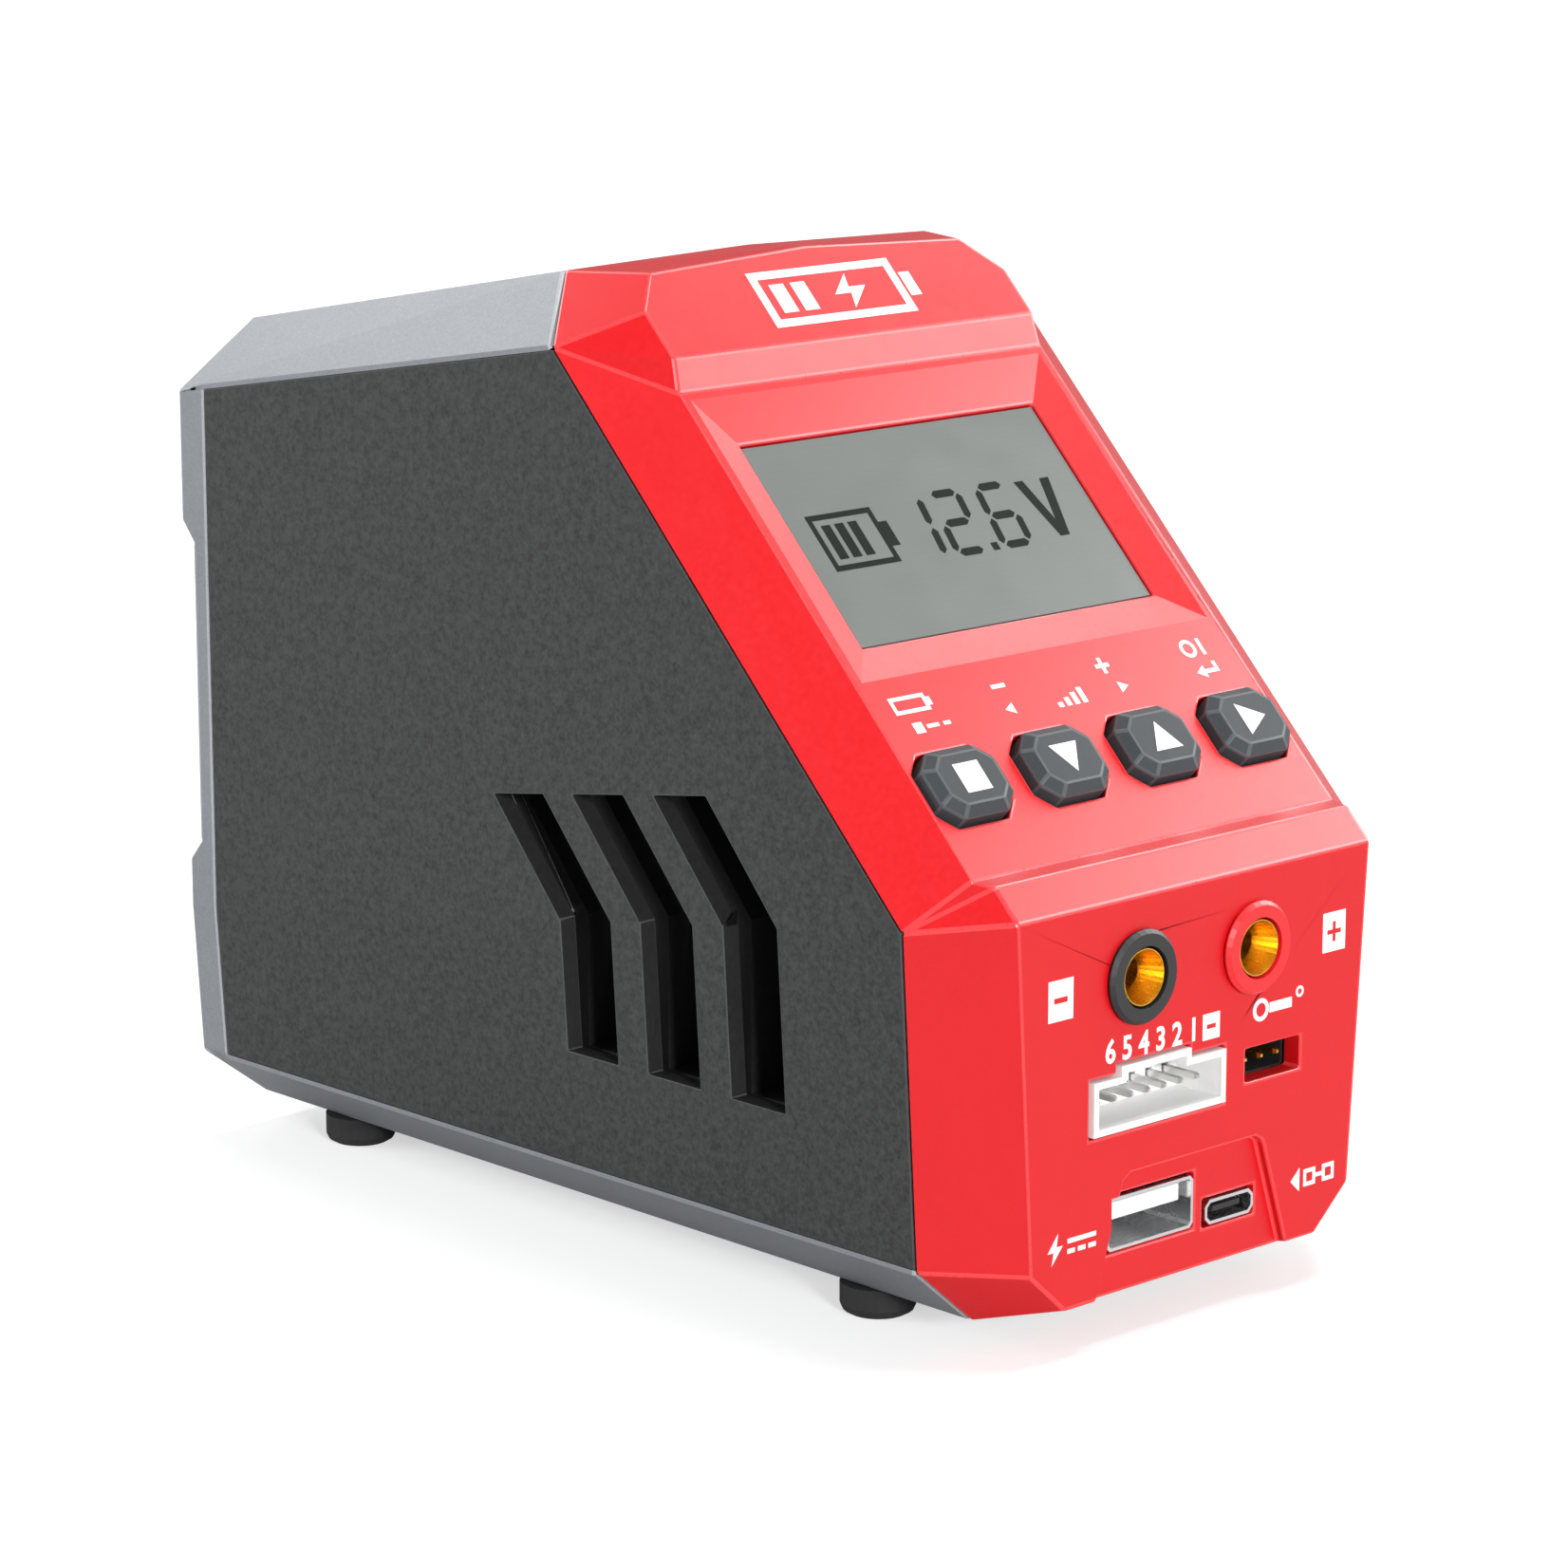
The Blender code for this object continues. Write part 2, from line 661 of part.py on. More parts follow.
def facing_back(name, bm, mat, y, smooth=False):
    """Place a mesh drawn as (x, -z, outward) so that its local z points to the back."""
    obj = mesh_object(name, bm, mat, BODY, (0.0, y, 0.0), smooth)
    obj.rotation_euler = (-math.pi / 2, 0.0, 0.0)
    return obj


def fan(frame_mat, rotor_mat, guard_mat, screw_mat):
    x, z = FAN_AT
    half = FAN_SIZE / 2
    back = REAR_PANEL_Y[0] - GAP
    bm = bmesh.new()
    outline = rectangle(FAN_SIZE, FAN_SIZE, 2.0, (x, -z))
    add_loft(bm, [level(outline, -FAN_THICK), level(outline, 0.0)])
    body = facing_back("fan_frame", bm, frame_mat, back)
    bm = bmesh.new()
    add_turned(bm, [(half - 1.2, -FAN_THICK + 1.6), (half - 1.2, 1.0)], 40, (x, -z))
    for sx, sz in fan_corners():
        add_turned(bm, [(1.9, -FAN_THICK - 1.0), (1.9, 1.0)], 16, (sx, -sz))
    sector = [(half - 2.0, turn) for turn in (-0.66, -0.33, 0.0, 0.33, 0.66)]
    sector += [(9.5, turn) for turn in (0.55, 0.0, -0.55)]
    for k in range(4):
        mid = math.radians(45 + 90 * k)
        arc = [(x + r * math.cos(mid + turn), -z + r * math.sin(mid + turn)) for r, turn in sector]
        add_loft(bm, [level(arc, -FAN_THICK - 1.0), level(arc, -FAN_THICK + 1.4)])
    combine(body, facing_back("cut_fan_bore", bm, frame_mat, back))
    fan_rotor(rotor_mat, back)
    fan_guard(guard_mat)
    head = REAR_PANEL_Y[1] + 2.0
    profile = [(1.4, -13.5), (1.4, 0.0), (2.7, 0.0), (2.7, 0.4), (1.6, 0.9)]
    for name, (sx, sz) in zip(("lower_left", "upper_left", "lower_right", "upper_right"), fan_corners()):
        screw = turned("fan_screw_" + name, profile, 16, screw_mat, BODY, (sx, head, sz))
        screw.rotation_euler = (-math.pi / 2, 0.0, 0.0)


def fan_rotor(mat, back):
    """Hub and seven pitched blades about the axis through the hub."""
    bm = bmesh.new()
    add_turned(bm, [(8.6, -7.6), (9.0, -7.2), (9.0, -1.0), (8.6, -0.6)], 32)
    rotor = mesh_object("fan_rotor", bm, mat, BODY, (FAN_AT[0], back, FAN_AT[1]), smooth=True)
    rotor.rotation_euler = (-math.pi / 2, 0.0, 0.0)
    blades = 7
    bm = bmesh.new()
    for k in range(blades):
        turn = Matrix.Rotation(2 * math.pi * k / blades, 3, "Z")
        rings = []
        for radius, sweep in ((8.0, 0.0), (12.5, 0.12), (17.6, 0.30)):
            chord = 0.30 * radius + 1.2
            corners = [(-chord, -6.6), (-chord + 0.9, -6.9), (chord, -1.6), (chord - 0.9, -1.3)]
            ring = []
            for along, out in corners:
                angle = sweep + along / radius
                ring.append(turn @ Vector((radius * math.cos(angle), radius * math.sin(angle), out)))
            rings.append(ring)
        add_loft(bm, rings)
    vanes = mesh_object("add_blades", bm, mat, BODY, (FAN_AT[0], back, FAN_AT[1]))
    vanes.rotation_euler = (-math.pi / 2, 0.0, 0.0)
    combine(rotor, vanes, "UNION")


def fan_guard(mat):
    """Flat finger guard: rings, a middle disc, spokes and four ears."""
    x, z = FAN_AT
    back = REAR_PANEL_Y[1] + GAP
    bm = bmesh.new()
    add_turned(bm, [(3.0, 0.0), (3.0, 1.2)], 24, (x, -z))
    guard = facing_back("fan_guard", bm, mat, back)
    for radius in (6.8, 11.2, 15.6, 20.0):
        bm = bmesh.new()
        ring = [(radius - 0.7, 0.0), (radius + 0.7, 0.0), (radius + 0.7, 1.2), (radius - 0.7, 1.2)]
        add_tube_ring(bm, ring, 32, (x, -z))
        combine(guard, facing_back("add_guard_ring_%d" % round(radius), bm, mat, back), "UNION")
    for turn, name in ((45, "add_spoke_a"), (135, "add_spoke_b")):
        bm = bmesh.new()
        bar = rectangle(2 * FAN_SCREW * math.sqrt(2), 1.8)
        add_loft(bm, [level(bar, 0.1), level(bar, 1.1)])
        spin = Matrix.Rotation(math.radians(turn), 3, "Z")
        bmesh.ops.rotate(bm, cent=(0, 0, 0), matrix=spin, verts=bm.verts)
        bmesh.ops.translate(bm, vec=(x, -z, 0.0), verts=bm.verts)
        combine(guard, facing_back(name, bm, mat, back), "UNION")
    bm = bmesh.new()
    for sx, sz in fan_corners():
        add_turned(bm, [(3.4, 0.05), (3.4, 1.15)], 20, (sx, -sz))
    combine(guard, facing_back("add_ears", bm, mat, back), "UNION")
    bm = bmesh.new()
    for sx, sz in fan_corners():
        add_turned(bm, [(1.8, -2.0), (1.8, 3.0)], 16, (sx, -sz))
    combine(guard, facing_back("cut_ears", bm, mat, back))


def inlets(body_mat, pin_mat):
    face = REAR_PANEL_Y[1] + 1.2
    bm = bmesh.new()
    flange = rectangle(20.0, 13.0, 3.6, (AC_AT[0], -AC_AT[1]))
    rings = [level(ac_outline(0.0, -1), -16.0), level(ac_outline(0.0, -1), -1.2 + GAP)]
    rings += [level(flange, -1.2 + GAP), level(flange, 0.0)]
    add_loft(bm, rings)
    socket = facing_back("ac_inlet", bm, body_mat, face)
    bm = bmesh.new()
    mouth = rectangle(14.0, 7.6, 2.6, (AC_AT[0], -AC_AT[1]))
    add_loft(bm, [level(mouth, -10.0), level(mouth, 1.0)])
    combine(socket, facing_back("cut_ac_mouth", bm, body_mat, face))
    for side, dx in (("left", -4.3), ("right", 4.3)):
        for name, radius, length in (("cut_ac_hole_", 1.5, 19.0), ("ac_pin_", 1.2, 18.0)):
            profile = [(radius, -length), (radius, -2.6), (radius * 0.6, -2.0)]
            pin = turned(name + side, profile, 16, pin_mat, BODY, (AC_AT[0] + dx, face, AC_AT[1]))
            pin.rotation_euler = (-math.pi / 2, 0.0, 0.0)
            if name.startswith("cut_"):
                combine(socket, pin)
    bm = bmesh.new()
    jack = [(2.9, -9.0), (2.9, 0.0), (6.2, 0.0), (6.2, -0.9)]
    jack += [(4.5, -0.9), (4.5, -12.0), (1.6, -12.0), (1.6, -9.0)]
    add_tube_ring(bm, jack, 28, (DC_AT[0], -DC_AT[1]))
    facing_back("dc_inlet", bm, body_mat, face, smooth=True)
    bm = bmesh.new()
    add_turned(bm, [(1.25, -13.5), (1.25, -1.6), (0.8, -1.1)], 16, (DC_AT[0], -DC_AT[1]))
    facing_back("dc_inlet_pin", bm, pin_mat, face, smooth=True)


# Display, keys and control board

def display(glass_mat, frame_mat):
    middle = (LCD_LOW_S + LCD_HIGH_S) / 2
    glass = rectangle(2 * (LCD_HALF - 0.25), LCD_HIGH_S - LCD_LOW_S - 0.5, centre=(0.0, middle))
    lofted("lcd_glass", [level(glass, -2.5), level(glass, -1.5)], glass_mat, SLOPE_FRAME)
    outer = rectangle(2 * LCD_HALF + 3.0, LCD_HIGH_S - LCD_LOW_S + 6.0, 1.0, (0.0, middle))
    lofted("lcd_module", [level(outer, -7.6), level(outer, -3.2)], frame_mat, SLOPE_FRAME)


def keys(mat):
    """Each key: a bevelled cap, a shaft through the panel, a retaining flange and a stem."""
    w, h = KEY_SIZE
    cap = rectangle(w, h, KEY_CORNER)
    top = rectangle(w - 2.2, h - 2.2, KEY_CORNER - 0.5)
    flange = rectangle(w + 1.4, h + 1.4, KEY_CORNER)
    stem = rectangle(3.2, 3.2, 0.8)
    rings = [level(stem, -5.2), level(stem, -4.3), level(flange, -4.3), level(flange, -3.3)]
    rings += [level(cap, -3.3), level(cap, KEY_HEIGHT - 0.9), level(top, KEY_HEIGHT)]
    for name, x in zip(KEY_NAMES, KEY_X):
        lofted(name, rings, mat, SLOPE_FRAME, (x, KEY_S, 0.0))


def control_board(board_mat, switch_mat):
    board = rectangle(48.0, 60.0, 2.0, (0.0, 8.5))
    rings = [level(board, BOARD_H - BOARD_THICK), level(board, BOARD_H)]
    lofted("control_board", rings, board_mat, SLOPE_FRAME)
    strip = rectangle(46.0, 2.4, centre=(0.0, KEY_S))
    base = BOARD_H + GAP
    rings = [level(strip, base), level(strip, base + 0.5)]
    switches = lofted("key_switches", rings, switch_mat, SLOPE_FRAME)
    bm = bmesh.new()
    plunger_top = -5.2 - KEY_TRAVEL - 0.15
    for x in KEY_X:
        body = rectangle(6.0, 6.0, centre=(x, KEY_S))
        plunger = rectangle(3.0, 3.0, centre=(x, KEY_S))
        rings = [level(body, base + 0.1), level(body, plunger_top - 0.6)]
        rings += [level(plunger, plunger_top - 0.6), level(plunger, plunger_top)]
        add_loft(bm, rings)
    combine(switches, mesh_object("add_switches", bm, switch_mat, SLOPE_FRAME), "UNION")


# Front sockets

def outputs(black, red, brass):
    collar = [(CONTACT_R + GAP, -13.0), (CONTACT_R + GAP, COLLAR_PROUD), (COLLAR_R - 0.4, COLLAR_PROUD)]
    collar += [(COLLAR_R, COLLAR_PROUD - 0.4)]
    collar += [(COLLAR_R, GAP), (COLLAR_R - 0.7, GAP), (COLLAR_R - 0.7, -13.0)]
    lip = CONTACT_R - 0.1
    contact = [(BANANA_R, -15.0), (BANANA_R, -2.2), (lip, 0.6), (CONTACT_R, 0.6)]
    contact += [(CONTACT_R, -17.0), (0.9, -17.0), (0.9, -15.0)]
    for side, x, ring_mat in (("negative", -OUTPUT_X, black), ("positive", OUTPUT_X, red)):
        turned_ring(side + "_collar", collar, 32, ring_mat, FRONT, (x, OUTPUT_Z, 0.0))
        turned_ring(side + "_contact", contact, 32, brass, FRONT, (x, OUTPUT_Z, 0.0))


def pin_row(name, mat, count, centre, width, low, high):
    """A row of square pins, tapered at the tip."""
    bm = bmesh.new()
    for k in range(count):
        x = centre[0] + (k - (count - 1) / 2) * PIN_PITCH
        tip = rectangle(width * 0.5, width * 0.5, centre=(x, centre[1]))
        pin = rectangle(width, width, centre=(x, centre[1]))
        add_loft(bm, [level(pin, low), level(pin, high - 0.4), level(tip, high)])
    return mesh_object(name, bm, mat, FRONT)


def soldered_pins(name, mat, count, centre, low, high):
    """Pins joined behind the socket by the strip that they are soldered to."""
    strip = rectangle((count - 1) * PIN_PITCH + 2.0, 1.6, centre=centre)
    carrier = lofted(name, [level(strip, low - 0.6), level(strip, low)], mat, FRONT)
    combine(carrier, pin_row("add_" + name, mat, count, centre, 0.64, low - 0.3, high), "UNION")


def shroud(name, mat, outer, mouth, back, front, ways, centre):
    """A socket body: an open box with a hole in its floor for each pin."""
    floor_top = back + 1.6
    body = lofted(name, [level(outer, back), level(outer, front)], mat, FRONT)
    rings = [level(mouth, floor_top), level(mouth, front + 1.0)]
    combine(body, lofted("cut_mouth_" + name, rings, mat, FRONT))
    combine(body, pin_row("cut_pins_" + name, mat, ways, centre, 1.0, back - 1.0, floor_top + 1.0))


def pin_sockets(white, black, gold):
    back = 0.4 - HEADER_DEPTH
    outer, mouth = header_outline(0.0), header_outline(-0.7)
    shroud("balance_header", white, outer, mouth, back, 0.4, BALANCE_WAYS, HEADER_AT)
    soldered_pins("balance_pins", gold, BALANCE_WAYS, HEADER_AT, back - GAP, -1.2)
    outer = rectangle(TEMP_SIZE[0] + 1.8, TEMP_SIZE[1] + 1.8, centre=TEMP_AT)
    mouth = rectangle(TEMP_SIZE[0] - 0.2, TEMP_SIZE[1] - 0.2, centre=TEMP_AT)
    shroud("temp_header", black, outer, mouth, -9.5, -WALL - GAP, 3, TEMP_AT)
    soldered_pins("temp_pins", gold, 3, TEMP_AT, -9.5 - GAP, -1.6)


def usb_ports(chrome, white, black):
    front = -PORT_RECESS + 0.15
    ports = [("usb_a_shell", USB_A_SIZE, 0.5, USB_A_AT, 13.5)]
    ports.append(("micro_usb_shell", MICRO_SIZE, 0.7, MICRO_AT, 6.0))
    for name, size, corner, centre, deep in ports:
        outer = rectangle(*size, corner, centre)
        shell = lofted(name, [level(outer, front - deep), level(outer, front)], chrome, FRONT)
        inner = rectangle(size[0] - 0.7, size[1] - 0.7, corner * 0.7, centre)
        rings = [level(inner, front - deep + 0.5), level(inner, front + 1.0)]
        combine(shell, lofted("cut_" + name, rings, chrome, FRONT))
    x, y = USB_A_AT
    tongue = rectangle(11.0, 1.8, centre=(x, y + 1.0))
    lofted("usb_a_tongue", [level(tongue, -13.5), level(tongue, -2.2)], white, FRONT)
    x, y = MICRO_AT
    tongue = rectangle(4.2, 0.6, centre=(x, y + 0.1))
    lofted("micro_usb_tongue", [level(tongue, -5.9), level(tongue, -1.5)], black, FRONT)


# Power electronics

def main_board(board_mat, sheet_mat, metal):
    board = rectangle(46.0, 94.0, 2.0, (0.0, 63.0))
    top = BOARD_Z + BOARD_THICK
    plate = lofted("main_board", [level(board, BOARD_Z), level(board, top)], board_mat, BODY)
    sheet = rectangle(44.0, 92.0, 2.0, (0.0, 63.0))
    low = FLOOR_Z + WALL + GAP
    film = lofted("insulation_sheet", [level(sheet, low), level(sheet, low + 0.4)], sheet_mat, BODY)
    for target, radius, label in ((plate, 1.9, "board"), (film, 3.6, "film")):
        bm = bmesh.new()
        for xy in STANDOFF_XY:
            add_turned(bm, [(radius, low - 1.0), (radius, top + 1.0)], 16, xy)
        combine(target, mesh_object("cut_%s_holes" % label, bm, sheet_mat, BODY))
    profile = [(SCREW_R, FLOOR_Z + WALL + 1.0), (SCREW_R, top + GAP)]
    profile += [(2.8, top + GAP), (2.8, top + 1.0), (1.8, top + 1.9)]
    for name, (x, y) in zip(CORNER_NAMES, STANDOFF_XY):
        turned("board_screw_" + name, profile, 16, metal, BODY, (x, y, 0.0))


def power_parts(metal, black, ferrite, tape, can, copper):
    base = BOARD_Z + BOARD_THICK + GAP
    fins = 7
    near, far = 67.8, 101.8
    outline = [(-22.0, near), (-22.0, far), (-19.5, far)]
    for k in range(fins):
        y = far - k * 5.4
        outline += [(-10.0, y), (-10.0, y - 1.6), (-19.5, y - 1.6)]
        if k < fins - 1:
            outline.append((-19.5, y - 5.4))
    outline.append((-19.5, near))
    lofted("heatsink", [level(outline, base), level(outline, base + 30.0)], metal, BODY)
    clamp = bmesh.new()
    add_box(clamp, 14.4, 16.2, 41.0, 71.0, base + 6.0, base + 10.0)
    bank = mesh_object("transistor_bank", clamp, black, BODY)
    bm = bmesh.new()
    for k in range(4):
        y = 42.0 + 7.2 * k
        add_box(bm, 16.0, 20.6, y, y + 5.6, base, base + 15.0)
    combine(bank, mesh_object("add_transistors", bm, black, BODY), "UNION")

    at = (2.2, 64.0)
    block = rectangle(23.0, 20.0, centre=at)
    core = lofted("transformer_core", [level(block, base), level(block, base + 22.0)], ferrite, BODY)
    bm = bmesh.new()
    for x0, x1 in ((-8.0, -2.8), (2.8, 8.0)):
        add_box(bm, at[0] + x0, at[0] + x1, at[1] - 12.0, at[1] + 12.0, base + 4.0, base + 18.0)
    combine(core, mesh_object("cut_core_windows", bm, ferrite, BODY))
    winding = rectangle(15.0, 26.0, 2.0, at)
    coil = lofted("transformer_coil", [level(winding, base + 4.3), level(winding, base + 17.7)], tape, BODY)
    bm = bmesh.new()
    add_box(bm, at[0] - 3.1, at[0] + 3.1, at[1] - 10.3, at[1] + 10.3, base, base + 22.0)
    combine(coil, mesh_object("cut_coil_bore", bm, tape, BODY))

    cans = [("input_capacitor", 11.0, 87.0, 8.0, 28.0), ("output_capacitor", -3.5, 84.0, 5.0, 18.0)]
    for name, x, y, radius, tall in cans:
        profile = [(radius - 0.4, 0.0), (radius, 0.4), (radius, tall - 0.6), (radius - 0.6, tall)]
        turned(name, profile, 28, can, BODY, (x, y, base))
    bm = bmesh.new()
    ring = [(7.0 + r, base + 3.2 + z) for r, z in circle(3.0, 8)]
    add_tube_ring(bm, ring, 24, (-7.0, 39.0))
    mesh_object("inductor", bm, copper, BODY, smooth=True)
    bm = bmesh.new()
    drum = [(1.2, base + 5.0), (1.2, base + 8.0), (6.0, base + 8.0), (6.0, base), (0.8, base)]
    add_tube_ring(bm, drum, 24, (9.6, 36.6))
    mesh_object("buzzer", bm, black, BODY, smooth=True)


def smooth_path(points, steps):
    """A Catmull-Rom curve through the given points."""
    row = [points[0]] + points + [points[-1]]
    path = []
    for a, b, c, d in zip(row, row[1:], row[2:], row[3:]):
        for k in range(steps):
            t = k / steps
            path.append(tuple(0.5 * (2 * q + (r - p) * t + (2 * p - 5 * q + 4 * r - s) * t * t
                                     + (3 * q - p - 3 * r + s) * t ** 3) for p, q, r, s in zip(a, b, c, d)))
    path.append(tuple(points[-1]))
    return path


def lead(name, points, radius, mat):
    curve = bpy.data.curves.new(name, "CURVE")
    curve.dimensions = "3D"
    curve.bevel_depth = radius * MM
    curve.bevel_resolution = 2
    curve.use_fill_caps = True
    path = smooth_path(points, 4)
    spline = curve.splines.new("POLY")
    spline.points.add(len(path) - 1)
    for point, (x, y, z) in zip(spline.points, path):
        point.co = (x * MM, y * MM, z * MM, 1.0)
    curve.materials.append(mat)
    obj = bpy.data.objects.new(name, curve)
    bpy.context.scene.collection.objects.link(obj)
    obj.parent = BODY


def wiring(grey, black, red):
    """The flat cable between the boards and the two output leads."""
    path = smooth_path([(17.6, 44.0), (20.5, 36.0), (17.5, 26.0), (19.0, 17.2)], 4)
    thick = 0.9
    outline = [(y, z) for y, z in path] + [(y + thick, z) for y, z in reversed(path)]
    ribbon = lofted("ribbon_cable", [across(outline, -6.0), across(outline, 6.0)], grey, BODY)
    bm = bmesh.new()
    add_box(bm, -7.5, 7.5, 16.4, 20.6, BOARD_Z + BOARD_THICK + GAP, 18.0)
    combine(ribbon, mesh_object("add_plug_lower", bm, grey, BODY), "UNION")
    plug = rectangle(15.0, 5.0, centre=(0.0, -18.0))
    rings = [level(plug, -14.2), level(plug, BOARD_H - BOARD_THICK - GAP)]
    combine(ribbon, lofted("add_plug_upper", rings, grey, SLOPE_FRAME), "UNION")
    top = BOARD_Z + BOARD_THICK + GAP
    for side, x, mat in (("negative", -OUTPUT_X, black), ("positive", OUTPUT_X, red)):
        far_x = x + (8.0 if x > 0 else -4.5)
        far_y = 33.5 if x > 0 else 27.5
        points = [(x, 17.5, OUTPUT_Z), (x, 20.0, OUTPUT_Z)]
        points += [(far_x, far_y - 1.5, 30.0), (far_x, far_y, 20.0), (far_x, far_y, top)]
        lead(side + "_lead", points, 1.1, mat)


def feet(mat):
    profile = [(FOOT_R - 0.9, 0.0), (FOOT_R - 0.3, 0.35), (FOOT_R, 1.0), (FOOT_R, FLOOR_Z - GAP)]
    for name, (x, y) in zip(CORNER_NAMES, FOOT_XY):
        turned("foot_" + name, profile, 24, mat, BODY, (x, y, 0.0))


clear_scene()
BODY = frame("body_frame", 0.0, 0.0, 0.0)
FRONT = frame("front_frame", 0.0, 0.0, math.pi / 2)
SLOPE_FRAME = frame("slope_frame", PANEL_ORIGIN_Y, hood_z(PANEL_ORIGIN_Y, -PANEL_INSET), SLOPE)

RED = material("red plastic", (0.75, 0.035, 0.035), 0.38)
SILVER = material("silver paint", (0.42, 0.44, 0.46), 0.42, 0.3)
GRAPHITE = material("graphite plastic", (0.052, 0.052, 0.053), 0.62)
BLACK = material("black plastic", (0.012, 0.012, 0.013), 0.5)
LCD_GREY = material("display glass", (0.25, 0.27, 0.25), 0.25)
KEY_GREY = material("key rubber", (0.11, 0.125, 0.13), 0.55)
WHITE = material("white nylon", (0.80, 0.80, 0.78), 0.45)
RED_RING = material("red ring", (0.62, 0.03, 0.03), 0.4)
BRASS = material("brass", (0.80, 0.55, 0.18), 0.28, 1.0)
STEEL = material("steel", (0.62, 0.62, 0.63), 0.3, 1.0)
CHROME = material("chrome", (0.75, 0.75, 0.76), 0.18, 1.0)
BOARD_GREEN = material("circuit board", (0.02, 0.16, 0.06), 0.5)
FILM = material("clear film", (0.55, 0.55, 0.50), 0.4)
ALUMINIUM = material("aluminium", (0.66, 0.67, 0.68), 0.4, 1.0)
FERRITE = material("ferrite", (0.06, 0.06, 0.062), 0.7)
TAPE = material("yellow tape", (0.75, 0.55, 0.08), 0.5)
CAN_BLUE = material("capacitor sleeve", (0.03, 0.06, 0.22), 0.35)
COPPER = material("copper wire", (0.72, 0.32, 0.14), 0.35, 1.0)
CABLE_GREY = material("flat cable", (0.45, 0.45, 0.46), 0.55)
RUBBER = material("rubber", (0.010, 0.010, 0.011), 0.8)

front_shell(RED)
case_shell(SILVER)
side_panels(GRAPHITE)
vent_ducts(BLACK)
rear_panel(GRAPHITE)
fan(BLACK, BLACK, STEEL, STEEL)
inlets(BLACK, STEEL)
display(LCD_GREY, STEEL)
keys(KEY_GREY)
control_board(BOARD_GREEN, BLACK)
outputs(BLACK, RED_RING, BRASS)
pin_sockets(WHITE, BLACK, BRASS)
usb_ports(CHROME, WHITE, BLACK)
main_board(BOARD_GREEN, FILM, STEEL)
power_parts(ALUMINIUM, BLACK, FERRITE, TAPE, CAN_BLUE, COPPER)
wiring(CABLE_GREY, BLACK, RED_RING)
feet(RUBBER)
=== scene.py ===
"""Looks for the balance battery charger.

Materials, soft edges with painted highlights, printed marks, black sheets behind the vents as painted shade,
floor, light and camera, around the CAD nodes.
"""

import json
import math

import bmesh
import bpy
from mathutils import Matrix, Vector
from mathutils.geometry import convex_hull_2d, tessellate_polygon


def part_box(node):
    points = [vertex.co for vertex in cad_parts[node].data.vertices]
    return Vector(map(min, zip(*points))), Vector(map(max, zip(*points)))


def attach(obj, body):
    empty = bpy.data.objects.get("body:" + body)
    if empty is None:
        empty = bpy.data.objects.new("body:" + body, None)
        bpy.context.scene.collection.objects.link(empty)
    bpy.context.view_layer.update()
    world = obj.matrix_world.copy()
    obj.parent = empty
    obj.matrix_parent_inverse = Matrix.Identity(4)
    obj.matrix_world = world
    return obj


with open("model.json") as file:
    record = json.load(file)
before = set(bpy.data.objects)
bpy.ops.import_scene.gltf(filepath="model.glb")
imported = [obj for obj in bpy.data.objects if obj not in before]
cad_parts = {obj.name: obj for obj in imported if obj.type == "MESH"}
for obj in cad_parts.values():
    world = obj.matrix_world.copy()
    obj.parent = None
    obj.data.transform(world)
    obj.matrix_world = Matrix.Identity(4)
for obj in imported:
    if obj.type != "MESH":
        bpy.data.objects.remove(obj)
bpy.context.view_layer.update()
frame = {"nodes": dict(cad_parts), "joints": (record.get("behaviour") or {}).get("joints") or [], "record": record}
MM = 0.001
NODES = frame["nodes"]
SLOT_OF = {part["node"]: part["material_slot"] for part in frame["record"]["subparts"]}
ROOT = "charger"
SIDES = (("left", -1.0), ("right", 1.0))
ACROSS = Vector((1.0, 0.0, 0.0))
BACK = Vector((0.0, 1.0, 0.0))
UP = Vector((0.0, 0.0, 1.0))
ORIGIN = Vector((0.0, 0.0, 0.0))


# Material building blocks

